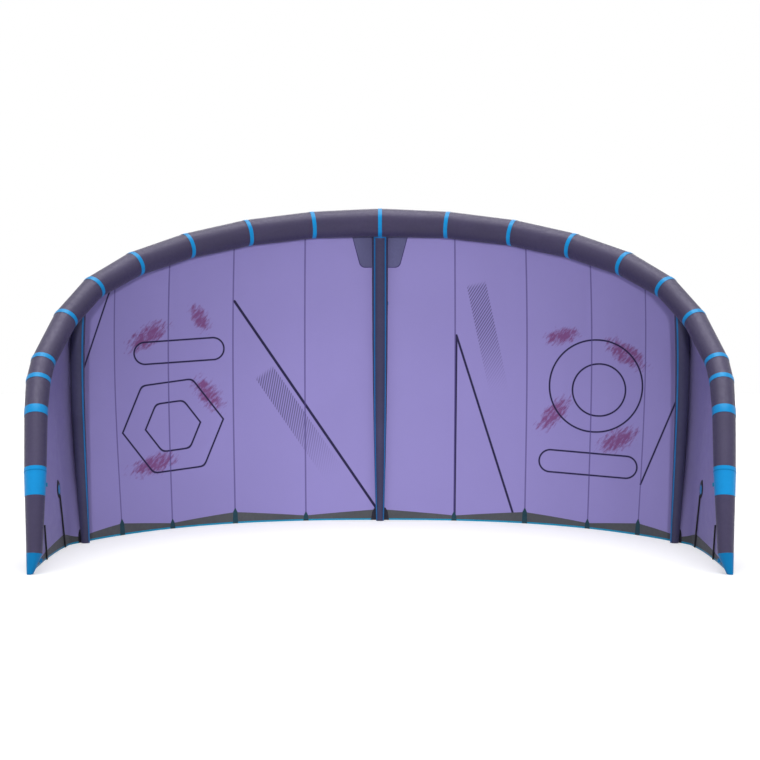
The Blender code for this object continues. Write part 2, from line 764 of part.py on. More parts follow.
def cut_grips(shop, collar, foot, top):
    """Cut finger grooves into the collar's rim."""
    work = bmesh.new()
    groove = 2 * GRIP_DEPTH
    for i in range(GRIP_COUNT):
        turn = Matrix.Rotation(4 * QUARTER_TURN * i / GRIP_COUNT, 4, "Z")
        place = turn @ Matrix.Translation((COLLAR_DIAMETER / 2, 0, (foot + top) / 2))
        size = Matrix.Diagonal((groove, groove, top - foot + groove, 1))
        bmesh.ops.create_cube(work, size=1, matrix=place @ size)
    cutter = shop.cutter("collar_grip_cutter", mesh_from("collar_grips", work), collar.matrix_basis)
    add_boolean(collar, cutter)


def make_strut_valve(shop, strut, name, side, casing, bladder):
    """Fit a strut's valve: its hole, seat and plug."""
    placement = strut.seat(STRUT_VALVE_SHARE, side)
    seat, bore = STRUT_SEAT_DIAMETER / 2, STRUT_SEAT_BORE / 2
    flange_top = CLOTH_GAP + STRUT_FLANGE_THICKNESS
    hole = round_rod("hole", 2 * (seat + HOLE_GAP), -STRUT_SEAT_DEPTH, flange_top, STRUT_TURN_STEPS)
    cutter = shop.cutter(f"strut_valve_hole_{name}", hole, placement)
    add_boolean(casing, cutter)
    add_boolean(bladder, cutter)
    seat_profile = (
        (bore, flange_top),
        (STRUT_FLANGE_DIAMETER / 2, flange_top),
        (STRUT_FLANGE_DIAMETER / 2, CLOTH_GAP),
        (seat, CLOTH_GAP),
        (seat, -STRUT_SEAT_DEPTH),
        (bore, -STRUT_SEAT_DEPTH),
    )
    mesh = turned("strut_valve_seat", seat_profile)
    add_turn(shop.part(f"strut_valve_seat_{name}", mesh, "valve_plastic", placement), STRUT_TURN_STEPS)
    plug = bore - HOLE_GAP
    cap_foot = flange_top + HOLE_GAP
    plug_profile = (
        (0, cap_foot + STRUT_PLUG_CAP_THICKNESS),
        (STRUT_PLUG_CAP_DIAMETER / 2, cap_foot + STRUT_PLUG_CAP_THICKNESS),
        (STRUT_PLUG_CAP_DIAMETER / 2, cap_foot),
        (plug, cap_foot),
        (plug, cap_foot - STRUT_PLUG_LENGTH),
        (0, cap_foot - STRUT_PLUG_LENGTH),
    )
    mesh = turned("strut_valve_plug", plug_profile)
    add_turn(shop.part(f"strut_valve_plug_{name}", mesh, "plug_plastic", placement), STRUT_TURN_STEPS)


def make_struts(shop, edge, canopy):
    """Make the three struts, each cut to the leading edge that it is sewn to."""
    clearance = TAPE_STACK + CLOTH_GAP
    tube = edge.solid("strut_end", -STRUT_CUTTER_SHARE, STRUT_CUTTER_SHARE, clearance)
    tube_cutter = shop.cutter("strut_end_cutter", tube)
    side_share = RIB_SHARES[STRUT_RIB][0]
    middle = (MIDDLE_STRUT_TOP_DIAMETER, MIDDLE_STRUT_FOOT_DIAMETER)
    outer = (SIDE_STRUT_TOP_DIAMETER, SIDE_STRUT_FOOT_DIAMETER)
    for name, share, sizes, valve_side in (
        ("middle", 0.0, middle, 1),
        ("left", -side_share, outer, 1),
        ("right", side_share, outer, -1),
    ):
        strut = Strut(canopy, share, *sizes)
        casing_mesh = strut.wall(f"strut_casing_{name}", STRUT_TOP_SHARE, 1, 0, CASING_WALL, False)
        casing = shop.part(f"strut_casing_{name}", casing_mesh, "casing_cloth")
        add_boolean(casing, tube_cutter)
        start, end = STRUT_BLADDER_TOP_SHARE, STRUT_BLADDER_FOOT_SHARE
        depth = -CASING_WALL - CLOTH_GAP
        bladder_mesh = strut.wall(f"strut_bladder_{name}", start, end, depth, BLADDER_WALL, True)
        bladder = shop.part(f"strut_bladder_{name}", bladder_mesh, "bladder_film")
        make_strut_valve(shop, strut, name, valve_side, casing, bladder)


def make_canopy(shop, edge, canopy):
    """Make the nine canopy cloths, sewn edge to edge at the seam ribs."""
    gap = SEAM_GAP / 2 / edge.half_length
    seams = [RIB_SHARES[rib][0] for rib in SEAM_RIBS]
    tip = RIB_SHARES[TIP_RIB][0]
    panels = [("canopy_middle", gap - seams[0], seams[0] - gap)]
    for side in (LEFT, RIGHT):
        for number, (near, far) in enumerate(zip(seams, seams[1:] + [tip + gap]), 1):
            start, end = ordered(side, near + gap, far - gap)
            panels.append((f"{side_name('canopy', side)}_{number}", start, end))
    for name, start, end in panels:
        columns = canopy.columns_between(start, end)
        places = [[(share, v) for share in columns] for v in CHORD_SHARES]
        mesh = canopy.layer(name, places, CANOPY_THICKNESS / 2, CANOPY_THICKNESS, True)
        shop.part(name, mesh, "canopy_cloth")


def make_trailing_band(shop, canopy):
    """Make the grey reinforcement along the trailing edge, whose upper edge zigzags."""
    ribs = [row[0] for row in RIB_SHARES]
    places = [[], []]
    for share in canopy.columns:
        height = BAND_HEIGHT * float(np.interp(abs(share), ribs, BAND_HEIGHT_SHARES))
        places[0].append((share, 1 - height / canopy.chord_length(share)))
        places[1].append((share, 1))
    mesh = canopy.layer("trailing_edge_band", places, LAYER_FACE, LAYER_THICKNESS)
    shop.part("trailing_edge_band", mesh, "grey_cloth")


def make_middle_patch(shop, edge, canopy):
    """Make the grey patch behind the middle strut, with its lower corners cut off."""
    knots = (STRUT_TOP_SHARE, PATCH_CORNER_SHARE, PATCH_FOOT_SHARE)
    widths = (PATCH_TOP_WIDTH, PATCH_FOOT_WIDTH, PATCH_CORNER_WIDTH)
    places = []
    for v in sorted(set(knots) | {v for v in CHORD_SHARES if knots[0] < v < knots[1]}):
        half = np.interp(v, knots, widths) / 2 / edge.half_length
        places.append([(part * half, v) for part in PATCH_COLUMN_SHARES])
    mesh = canopy.layer("middle_patch", places, LAYER_FACE, LAYER_THICKNESS)
    shop.part("middle_patch", mesh, "grey_cloth")


def make_battens(shop, canopy):
    """Make the two battens of each tip: a pointed pocket end over a narrow sleeve."""
    for base, rib, top in (
        ("batten_long", LONG_BATTEN_RIB, LONG_BATTEN_TOP_SHARE),
        ("batten_short", SHORT_BATTEN_RIB, SHORT_BATTEN_TOP_SHARE),
    ):
        for side in (LEFT, RIGHT):
            share = side * RIB_SHARES[rib][0]
            chord = canopy.chord_length(share)
            point_end = top + POCKET_POINT_LENGTH / chord
            pocket_end = top + POCKET_LENGTH / chord
            knots = (top, point_end, pocket_end, 1)
            widths = (BATTEN_POINT_WIDTH, BATTEN_POCKET_WIDTH, BATTEN_SLEEVE_WIDTH, BATTEN_SLEEVE_WIDTH)
            rows = sorted(set(knots) | {v for v in CHORD_SHARES if top < v})
            places = []
            for v in rows:
                across = canopy.point(share + SMOOTHING_SHARE, v) - canopy.point(share - SMOOTHING_SHARE, v)
                half = float(np.interp(v, knots, widths)) / 2 * 2 * SMOOTHING_SHARE / across.length
                places.append([(share - half, v), (share + half, v)])
            name = side_name(base, side)
            mesh = canopy.layer(name, places, STRUT_FACE, BATTEN_THICKNESS)
            shop.part(name, mesh, "batten_cloth")


def centre_frame(shop, edge, canopy):
    """Set the frame so that the kite's origin is under the middle of its depth."""
    outer = canopy.points + canopy.normals * CANOPY_THICKNESS / 2
    rear = float(outer[:, :, 1].max())
    front = min(p.y for share in edge.shares for p in edge.ring(share))
    shop.frame.location.y = -(rear + front) / 2


def main():
    """Build the kite."""
    shop = Workshop()
    edge = LeadingEdge()
    canopy = Canopy(edge)
    casing = make_casing(shop, edge)
    make_tapes(shop, edge)
    make_line_patches(shop, edge)
    bladder = make_edge_bladder(shop, edge)
    make_edge_valve(shop, edge, casing, bladder)
    make_struts(shop, edge, canopy)
    make_canopy(shop, edge, canopy)
    make_trailing_band(shop, canopy)
    make_middle_patch(shop, edge, canopy)
    make_battens(shop, canopy)
    centre_frame(shop, edge, canopy)


main()
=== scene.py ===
"""Looks of an inflatable kitesurfing kite: air tube, struts, canopy, tapes, battens and valves.

Lengths are in metres and +Z is up. The kite stands on its trailing edge, strut ends and tips, and
-Y is its hollow side, where the rider would be. Left and right are as seen from there.
"""

import json
import logging
import math
from bisect import bisect_right
from dataclasses import dataclass, field, replace
from enum import Enum
from typing import Callable, Iterable, Optional, Sequence

import bmesh
import bpy
from mathutils import Matrix, Vector

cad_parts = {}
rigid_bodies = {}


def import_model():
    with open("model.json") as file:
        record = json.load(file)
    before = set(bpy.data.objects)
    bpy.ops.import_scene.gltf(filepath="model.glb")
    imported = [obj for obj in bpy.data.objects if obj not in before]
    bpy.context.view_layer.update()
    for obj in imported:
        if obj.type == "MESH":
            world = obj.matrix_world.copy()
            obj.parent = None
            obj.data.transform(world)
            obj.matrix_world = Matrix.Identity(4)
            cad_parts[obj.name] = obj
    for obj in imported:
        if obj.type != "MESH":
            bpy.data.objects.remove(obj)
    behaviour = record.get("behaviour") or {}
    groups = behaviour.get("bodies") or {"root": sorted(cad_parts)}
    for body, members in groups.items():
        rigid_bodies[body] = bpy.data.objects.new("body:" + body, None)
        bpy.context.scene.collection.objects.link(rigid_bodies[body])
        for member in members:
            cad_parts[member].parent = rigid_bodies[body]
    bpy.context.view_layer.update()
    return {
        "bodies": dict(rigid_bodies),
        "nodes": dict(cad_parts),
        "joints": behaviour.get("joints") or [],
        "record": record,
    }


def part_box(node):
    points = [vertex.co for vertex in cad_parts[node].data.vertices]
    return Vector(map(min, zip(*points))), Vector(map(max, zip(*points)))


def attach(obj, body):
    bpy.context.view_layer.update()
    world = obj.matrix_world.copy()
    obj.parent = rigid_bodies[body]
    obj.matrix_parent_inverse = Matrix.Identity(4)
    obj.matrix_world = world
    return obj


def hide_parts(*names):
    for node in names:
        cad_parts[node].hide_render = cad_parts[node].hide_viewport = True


LOG = logging.getLogger("kite")

UP = Vector((0, 0, 1))
REAR = Vector((0, 1, 0))
FULL_TURN = 2 * math.pi
ROOT = "kite"
MERGE_DISTANCE = 1e-6

Piece = bpy.types.Object
Material = bpy.types.Material
Work = bmesh.types.BMesh
Layer = bmesh.types.BMLayerItem
Socket = bpy.types.NodeSocket
Feed = bpy.types.NodeSocket | float | Sequence[float]
Colour = tuple[int, int, int]
Reading = Callable[[float], float]
Spot = Callable[[float, float], tuple[float, float]]


class Side(Enum):
    """A side of the kite, as the sign of its X."""

    LEFT = -1
    RIGHT = 1

    @property
    def word(self) -> str:
        """Give the side's word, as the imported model's names have it."""
        return self.name.lower()


# Numbers


def ramp(value: float, knots: Sequence[float], values: Sequence[float]) -> float:
    """Read a line of straight pieces.

    Args:
        value: Where to read it.
        knots: Rising places of its corners.
        values: Its value at each corner.

    Returns:
        The value there, level past both ends.
    """
    if value <= knots[0]:
        return values[0]
    if value >= knots[-1]:
        return values[-1]
    k = bisect_right(knots, value) - 1
    part = (value - knots[k]) / (knots[k + 1] - knots[k])
    return values[k] * (1 - part) + values[k + 1] * part


def curve_slopes(knots: Sequence[float], values: Sequence[float]) -> list[float]:
    """Work out a smooth curve's slope at each of its points.

    Args:
        knots: Rising places of the points.
        values: Curve's value at each.

    Returns:
        One slope for each point.
    """
    steps = [(b - a) for a, b in zip(knots, knots[1:])]
    rises = [(b - a) / step for a, b, step in zip(values, values[1:], steps)]
    inner = [
        (near * far_step + far * near_step) / (near_step + far_step)
        for near, far, near_step, far_step in zip(rises, rises[1:], steps, steps[1:])
    ]
    return [rises[0], *inner, rises[-1]]


@dataclass
class SmoothCurve:
    """A smooth curve through points, made of cubic pieces."""

    knots: Sequence[float]
    values: Sequence[float]
    slopes: list[float] = field(init=False)

    def __post_init__(self) -> None:
        """Work out the slopes once."""
        self.slopes = curve_slopes(self.knots, self.values)

    def read(self, place: float) -> float:
        """Read the curve.

        Args:
            place: Where to read it.

        Returns:
            The value there.
        """
        k = min(max(bisect_right(self.knots, place) - 1, 0), len(self.knots) - 2)
        span = self.knots[k + 1] - self.knots[k]
        t = (place - self.knots[k]) / span
        start = (
            (1 + 2 * t) * (1 - t) ** 2 * self.values[k]
            + t * (1 - t) ** 2 * span * self.slopes[k]
        )
        end = (
            t * t * (3 - 2 * t) * self.values[k + 1]
            + t * t * (t - 1) * span * self.slopes[k + 1]
        )
        return start + end


def spaced(start: float, end: float, count: int, power: float = 1.0) -> list[float]:
    """List places between two ends, closer together at the start where the power is over 1."""
    return [start + (end - start) * (i / count) ** power for i in range(count + 1)]


# The leading edge's line


@dataclass(frozen=True)
class Kink:
    """A bend of the leading edge, as shares of its half width, height, reach and diameter."""

    across: float
    down: float
    forward: float
    girth: float


KINKS = (
    Kink(0.000, 0.000, 0.000, 1.00),
    Kink(0.251, 0.012, 0.026, 0.94),
    Kink(0.482, 0.049, 0.103, 0.90),
    Kink(0.677, 0.106, 0.215, 0.85),
    Kink(0.827, 0.178, 0.351, 0.80),
    Kink(0.925, 0.261, 0.483, 0.72),
    Kink(0.978, 0.360, 0.601, 0.69),
    Kink(1.000, 0.482, 0.736, 0.65),
    Kink(0.996, 0.534, 0.786, 0.65),
    Kink(0.980, 0.614, 0.849, 0.61),
    Kink(0.957, 0.751, 0.918, 0.57),
    Kink(0.949, 0.818, 0.943, 0.51),
    Kink(0.936, 0.953, 0.984, 0.40),
    Kink(0.942, 1.000, 1.000, 0.16),
)


def placed(x_axis: Vector, y_axis: Vector, z_axis: Vector, origin: Vector) -> Matrix:
    """Build a placement from three directions and an origin."""
    matrix = Matrix((x_axis, y_axis, z_axis)).transposed().to_4x4()
    matrix.translation = origin
    return matrix


@dataclass
class TubeLine:
    """The leading edge as straight runs between mitred kinks.

    A place along it is a signed share of its half length: -1 is the left tip, 0 the centre and 1
    the right tip.
    """

    centre_depth: float
    half_width: float = 1.740
    height: float = 1.932
    reach: float = 1.817
    diameter: float = 0.182
    smoothing: float = 0.05
    seat_step: float = 0.005
    centres: list[Vector] = field(init=False)
    radii: list[float] = field(init=False)
    shares: list[float] = field(init=False)
    hoops: list[Matrix] = field(init=False)
    half_length: float = field(init=False)

    def __post_init__(self) -> None:
        """Lay out the kinks of both halves and their mitred hoops."""
        half = [self.kink_point(kink) for kink in KINKS]
        runs = [(b - a).length for a, b in zip(half, half[1:])]
        self.half_length = sum(runs)
        shares = [sum(runs[:k]) / self.half_length for k in range(len(half))]
        radii = [k.girth * self.diameter / 2 for k in KINKS]
        self.centres = [Vector((-p.x, p.y, p.z)) for p in half[:0:-1]] + half
        self.radii = radii[:0:-1] + radii
        self.shares = [-share for share in shares[:0:-1]] + shares
        self.hoops = [self.kink_hoop(k) for k in range(len(self.centres))]

    def kink_point(self, kink: Kink) -> Vector:
        """Give the middle line's point at a kink of the right half."""
        depth = self.centre_depth - kink.forward * self.reach
        return Vector((kink.across * self.half_width, depth, (1 - kink.down) * self.height))

    def share_of(self, kink: int, side: Side = Side.RIGHT) -> float:
        """Give a kink's place, counted from the centre."""
        return self.shares[len(KINKS) - 1 + kink] * side.value

    @staticmethod
    def axes(along: Vector) -> tuple[Vector, Vector]:
        """Give the directions to the tube's rear and to its outer side, square to its run."""
        rear = (REAR - REAR.dot(along) * along).normalized()
        return rear, along.cross(rear)

    def kink_hoop(self, k: int) -> Matrix:
        """Make the placement that turns a unit circle into the tube's section at a kink.

        Args:
            k: Kink's number from the left tip.

        Returns:
            A matrix whose X and Y are the section's spokes to the rear and to the outer side.
        """
        last = len(self.centres) - 1
        before = (self.centres[max(k, 1)] - self.centres[max(k, 1) - 1]).normalized()
        after = (self.centres[min(k, last - 1) + 1] - self.centres[min(k, last - 1)]).normalized()
        along = (before + after).normalized()
        bend = after - before
        stretch = 1 / along.dot(before) - 1
        spokes = []
        for spoke in self.axes(along):
            spoke = spoke * self.radii[k]
            if bend.length > 0:
                spoke = spoke + stretch * spoke.dot(bend.normalized()) * bend.normalized()
            if k in (0, last):
                spoke = spoke - along * spoke.z / along.z
            spokes.append(spoke)
        return placed(*spokes, along, self.centres[k])

    def find(self, share: float) -> tuple[int, float]:
        """Find the run that a share lies on, and how far along that run it is."""
        k = min(max(bisect_right(self.shares, share) - 1, 0), len(self.shares) - 2)
        return k, (share - self.shares[k]) / (self.shares[k + 1] - self.shares[k])

    def centre(self, share: float) -> Vector:
        """Give the middle line's point at a share."""
        k, part = self.find(share)
        return self.centres[k].lerp(self.centres[k + 1], part)

    def along(self, share: float) -> Vector:
        """Give the tube's direction at a share, evened out over its kinks."""
        low, high = max(share - self.smoothing, -1), min(share + self.smoothing, 1)
        return (self.centre(high) - self.centre(low)).normalized()

    def hoop(self, share: float, depth: float = 0.0) -> Matrix:
        """Place the tube's section, a unit circle, at a share and a depth outside its casing."""
        k, part = self.find(share)
        matrix = self.hoops[k] * (1 - part) + self.hoops[k + 1] * part
        spokes = [matrix.col[i].xyz * (1 + depth / matrix.col[i].xyz.length) for i in (0, 1)]
        return placed(*spokes, matrix.col[2].xyz, matrix.translation)

    def spoke(self, share: float, quarters: float) -> Vector:
        """Give a direction out of the tube, in quarter turns from its rear to its outer side."""
        rear, outward = self.axes(self.along(share))
        angle = quarters * FULL_TURN / 4
        return math.cos(angle) * rear + math.sin(angle) * outward

    def reach_toward(self, share: float, direction: Vector) -> float:
        """Give how far the casing reaches from its middle line in a direction."""
        matrix = self.hoop(share)
        return math.hypot(matrix.col[0].xyz.dot(direction), matrix.col[1].xyz.dot(direction))

    def seat_run(self, share: float, quarters: float) -> Vector:
        """Give the direction along the tube's surface at an angle round it, in quarter turns."""
        angle = quarters * FULL_TURN / 4
        rim = Vector((math.cos(angle), math.sin(angle), 0))
        near, far = self.hoop(share - self.seat_step), self.hoop(share + self.seat_step)
        return (far @ rim - near @ rim).normalized()

    def stations(self, start: float, end: float, step: float, bend: float) -> list[float]:
        """List the places of a stretch's sections, with three at each kink.

        Args:
            start: Stretch's first share.
            end: Its last share.
            step: Longest distance between two sections.
            bend: Half the length over which a kink bends.

        Returns:
            The places in order.
        """
        found = {start, end}
        reach = bend / self.half_length
        for share in self.shares:
            places = (share - reach, share, share + reach)
            found |= {place for place in places if start < place < end}
        ordered = sorted(found)
        result = [ordered[0]]
        for near, far in zip(ordered, ordered[1:]):
            count = max(1, math.ceil((far - near) * self.half_length / step))
            result += spaced(near, far, count)[1:]
        return result


# The canopy's surface


@dataclass(frozen=True)
class RibRow:
    """A rib of the canopy, as shares.

    It leaves the edge's half length at one share and stands on the ground at a share of the half
    width across and of the reach forward. Its camber is a share of its chord, and it leaves the
    tube turned by some quarter turns.
    """

    edge: float
    across: float
    forward: float
    camber: float
    quarters: float


RIBS = (
    RibRow(0.000, 0.000, 0.000, 0.090, 0.00),
    RibRow(0.125, 0.275, 0.019, 0.088, 0.03),
    RibRow(0.246, 0.527, 0.088, 0.080, 0.10),
    RibRow(0.360, 0.729, 0.210, 0.070, 0.22),
    RibRow(0.466, 0.867, 0.353, 0.060, 0.36),
    RibRow(0.570, 0.958, 0.496, 0.062, 0.44),
    RibRow(0.720, 0.985, 0.588, -0.020, 0.16),
    RibRow(0.860, 0.973, 0.788, 0.000, 0.00),
    RibRow(0.965, 0.951, 0.950, 0.000, 0.00),
)
SEAM_SHARES = tuple(row.edge for row in RIBS[1:5])
SIDE_STRUT_SHARE = RIBS[5].edge
LONG_BATTEN_SHARE = RIBS[6].edge
SHORT_BATTEN_SHARE = RIBS[7].edge
TIP_SHARE = RIBS[8].edge


@dataclass(frozen=True)
class Rib:
    """One rib in place: its top on the tube, its chord, and how far and which way it bulges."""

    top: Vector
    chord: Vector
    bulge: Vector
    top_error: Vector


@dataclass
class CanopySurface:
    """The cambered surface that the cloth and everything sewn to it follows.

    A place on it is a signed share along the leading edge and a share of the chord, 0 at the
    leading edge and 1 at the trailing edge. Depth is measured out of the hollow side.
    """

    line: TubeLine
    stand_off: float = 0.0020
    thickness: float = 0.0008
    camber_skew: float = 0.75
    rear_share: float = 0.85
    billow_share: float = 0.010
    top_blend: float = 0.06
    level_from: float = 0.86
    slope_step: float = 0.002
    even_steps: tuple[float, ...] = (-1, -0.5, 0, 0.5, 1)
    curves: dict[str, SmoothCurve] = field(init=False)
    ribs: dict[float, Rib] = field(default_factory=dict)
    held: list[float] = field(init=False)

    def __post_init__(self) -> None:
        """Make the four curves that run from tip to tip."""
        places = [-row.edge for row in RIBS[:0:-1]] + [row.edge for row in RIBS]
        self.curves = {}
        for name, sign in (("across", -1), ("forward", 1), ("camber", 1), ("quarters", 1)):
            half = [getattr(row, name) for row in RIBS]
            self.curves[name] = SmoothCurve(places, [sign * value for value in half[:0:-1]] + half)
        self.held = places

    @property
    def front(self) -> float:
        """Give the depth of the cloth's hollow side."""
        return -self.thickness / 2

    @property
    def back(self) -> float:
        """Give the depth of the cloth's outer side."""
        return self.thickness / 2

    def foot(self, share: float) -> Vector:
        """Give the trailing edge's point on a rib."""
        across = self.curves["across"].read(share) * self.line.half_width
        forward = self.curves["forward"].read(share) * self.line.reach
        return Vector((across, self.line.centre_depth - forward, 0))

    def even_centre(self, share: float) -> Vector:
        """Give the tube's middle line at a share, evened out over its kinks."""
        steps = [share + self.line.smoothing * part for part in self.even_steps]
        return sum((self.line.centre(step) for step in steps), Vector()) / len(steps)

    def spoke(self, share: float) -> Vector:
        """Give the direction out of the tube toward the cloth's edge."""
        return self.line.spoke(share, self.curves["quarters"].read(share))

    def rib(self, share: float) -> Rib:
        """Work out a rib, or read it if it was worked out before.

        Args:
            share: Its share along the leading edge.

        Returns:
            The rib.
        """
        key = round(share, 7)
        if key not in self.ribs:
            spoke = self.spoke(share)
            reach = self.line.reach_toward(share, spoke) + self.stand_off
            top = self.line.centre(share) + spoke * reach
            even_top = self.even_centre(share) + spoke * reach
            chord = self.foot(share) - even_top
            step = self.line.smoothing / 2
            foot_run = (self.foot(share + step) - self.foot(share - step)).normalized()
            spanwise = self.line.along(share) + foot_run
            backward = (spanwise.cross(chord).normalized() + self.rear_share * REAR).normalized()
            bulge = self.curves["camber"].read(share) * chord.length * backward
            self.ribs[key] = Rib(even_top, chord, bulge, top - even_top)
        return self.ribs[key]

    def billow(self, share: float) -> float:
        """Give how far the cloth fills out between the two ribs that hold it, at mid chord."""
        k = min(max(bisect_right(self.held, share) - 1, 0), len(self.held) - 2)
        span = self.held[k + 1] - self.held[k]
        part = min(max((share - self.held[k]) / span, 0), 1)
        return span * self.line.half_length * self.billow_share * math.sin(math.pi * part) ** 2

    def middle(self, share: float, v: float) -> Vector:
        """Give a point of the surface halfway through the cloth.

        Args:
            share: Share along the leading edge.
            v: Share of the chord.

        Returns:
            The point.
        """
        rib = self.rib(share)
        swell = math.sin(math.pi * min(max(v, 0), 1) ** self.camber_skew)
        point = rib.top + v * rib.chord + swell * rib.bulge
        out = Vector((rib.bulge.x, rib.bulge.y, 0)) if rib.bulge.length > 0 else REAR
        point += rib.top_error * math.exp(-v / self.top_blend)
        return point + self.billow(share) * math.sin(math.pi * min(max(v, 0), 1)) * out.normalized()

    def normal(self, share: float, v: float) -> Vector:
        """Give the surface's outward normal, level along the trailing edge.

        Args:
            share: Share along the leading edge.
            v: Share of the chord.

        Returns:
            The normal.
        """
        step = self.slope_step
        low, high = max(v - step, 0), min(v + step, 1)
        spanwise = self.middle(share + step, v) - self.middle(share - step, v)
        chordwise = self.middle(share, high) - self.middle(share, low)
        normal = spanwise.cross(chordwise).normalized()
        normal.z *= ramp(v, (self.level_from, 1), (1, 0))
        return normal.normalized()

    def point(self, share: float, v: float, depth: float = 0.0) -> Vector:
        """Give the point at a place, moved out of the hollow side by a depth."""
        return self.middle(share, v) + depth * self.normal(share, v)

    def chord_length(self, share: float) -> float:
        """Give the straight distance from the leading edge to the trailing edge."""
        return self.rib(share).chord.length

    def beside(self, share: float, v: float, distance: float) -> float:
        """Find the share that lies a distance to the right at the same share of the chord."""
        step = self.slope_step
        rate = (self.middle(share + step, v) - self.middle(share - step, v)).length / (2 * step)
        return share + distance / rate


# Mesh making


def linked(name: str, data: bpy.types.ID) -> Piece:
    """Put a mesh, lamp or camera into the scene."""
    item = bpy.data.objects.new(name, data)
    bpy.context.scene.collection.objects.link(item)
    return item


def finished_object(name: str, work: Work, sharp_degrees: float = 40.0) -> Piece:
    """Turn a bmesh into a shaded object of the scene.

    Args:
        name: Object's name.
        work: Bmesh, which is freed.
        sharp_degrees: Edges that bend more than this are shaded sharp.

    Returns:
        The new object.
    """
    mesh = bpy.data.meshes.new(name)
    work.to_mesh(mesh)
    work.free()
    mesh.shade_smooth()
    mesh.set_sharp_from_angle(angle=math.radians(sharp_degrees))
    return linked(name, mesh)


@dataclass
class Loft:
    """A skin drawn through hoops: unit circles that each have a placement.

    On a band with two sides the last hoop is joined to the first. Any other loft has a flat cap
    at both ends. The map is in metres, round the skin by its girth and along it by its places.
    """

    name: str
    hoops: Sequence[Matrix]
    sides: int
    girth: float
    is_band: bool = False
    places: Optional[Sequence[float]] = None
    relief: Optional[Callable[[float, float], float]] = None

    def build(self) -> Piece:
        """Draw the skin.

        Returns:
            The new object.
        """
        work = bmesh.new()
        unit = work.verts.layers.float_vector.new("unit")
        along = work.verts.layers.float.new("along")
        places = self.places or self.run_places()
        made = bmesh.ops.create_circle(work, segments=self.sides, radius=1)["verts"]
        first = ring = list({edge for vert in made for edge in vert.link_edges})
        for vert in made:
            vert[unit] = vert.co
        self.place(made, unit, along, self.hoops[0], places[0])
        if not self.is_band:
            bmesh.ops.contextual_create(work, geom=ring)
        for hoop, place in zip(self.hoops[1:], places[1:]):
            grown = bmesh.ops.extrude_edge_only(work, edges=ring)["geom"]
            made = [item for item in grown if isinstance(item, bmesh.types.BMVert)]
            fresh = set(made)
            edges = [item for item in grown if isinstance(item, bmesh.types.BMEdge)]
            ring = [edge for edge in edges if set(edge.verts) <= fresh]
            self.place(made, unit, along, hoop, place)
        if self.is_band:
            bmesh.ops.bridge_loops(work, edges=first + ring)
        else:
            bmesh.ops.contextual_create(work, geom=ring)
        self.map_faces(work, unit, along)
        bmesh.ops.recalc_face_normals(work, faces=work.faces)
        return finished_object(self.name, work)

    def run_places(self) -> list[float]:
        """Measure how far along the path each hoop lies."""
        result = [0.0]
        for near, far in zip(self.hoops, self.hoops[1:]):
            result.append(result[-1] + (far.translation - near.translation).length)
        return result

    def place(
        self, verts: Iterable[bmesh.types.BMVert], unit: Layer, along: Layer, hoop: Matrix,
        place: float,
    ) -> None:
        """Move one ring of vertices onto its hoop.

        Args:
            verts: Ring.
            unit: Layer with each vertex's spot on the unit circle.
            along: Layer that takes the ring's place.
            hoop: Ring's placement.
            place: Its place along the skin.
        """
        for vert in verts:
            spoke = Vector(vert[unit])
            if self.relief:
                spoke = spoke * (1 + self.relief(math.atan2(spoke.y, spoke.x), place))
            vert.co = hoop @ spoke
            vert[along] = place

    def map_faces(self, work: Work, unit: Layer, along: Layer) -> None:
        """Lay a map over the skin: U round it and V along it.

        Args:
            work: Skin.
            unit: Layer with each vertex's spot on the unit circle.
            along: Layer with its place.
        """
        layer = work.loops.layers.uv.new("Cloth")
        for face in work.faces:
            turns = [math.atan2(v[unit].y, v[unit].x) / FULL_TURN % 1 for v in face.verts]
            wraps = max(turns) - min(turns) > 0.5
            for loop, turn in zip(face.loops, turns):
                turn += 1 if wraps and turn < 0.5 else 0
                loop[layer].uv = (turn * self.girth, loop.vert[along])


def cord_hoops(points: Sequence[Vector], radii: Sequence[float]) -> list[Matrix]:
    """Place round sections along points, square to their run.

    Args:
        points: Middle line.
        radii: Radius at each point.

    Returns:
        A placement of the unit circle for each point.
    """
    hoops = []
    last = len(points) - 1
    for i, (point, radius) in enumerate(zip(points, radii)):
        run = (points[min(i + 1, last)] - points[max(i - 1, 0)]).normalized()
        side = run.cross(REAR if abs(run.dot(REAR)) < 0.9 else UP).normalized()
        hoops.append(placed(side * radius, run.cross(side) * radius, run, point))
    return hoops


@dataclass
class Slab:
    """A thin cloth over a grid, whose place function gives each point for a column, row and face.

    Columns and rows run from 0 to 1, and the face is 0 in front and 1 behind.
    """

    name: str
    columns: int
    rows: int
    place: Callable[[float, float, float], Vector]
    map_place: Spot
    sharp_degrees: float = 60.0

    def build(self) -> Piece:
        """Lay the grid, thicken it and place it.

        Returns:
            The new object.
        """
        work = bmesh.new()
        bmesh.ops.create_grid(work, x_segments=self.columns, y_segments=self.rows, size=0.5)
        spot = work.verts.layers.float_vector.new("spot")
        for vert in work.verts:
            vert[spot] = Vector((vert.co.x + 0.5, 0.5 - vert.co.y, 0))
        front = list(work.verts)
        grown = bmesh.ops.extrude_face_region(work, geom=list(work.faces), use_keep_orig=True)
        behind = [item for item in grown["geom"] if isinstance(item, bmesh.types.BMVert)]
        for face, verts in enumerate((front, behind)):
            for vert in verts:
                vert.co = self.place(vert[spot].x, vert[spot].y, face)
        layer = work.loops.layers.uv.new("Cloth")
        for face in work.faces:
            for loop in face.loops:
                loop[layer].uv = self.map_place(loop.vert[spot].x, loop.vert[spot].y)
        bmesh.ops.recalc_face_normals(work, faces=work.faces)
        return finished_object(self.name, work, self.sharp_degrees)


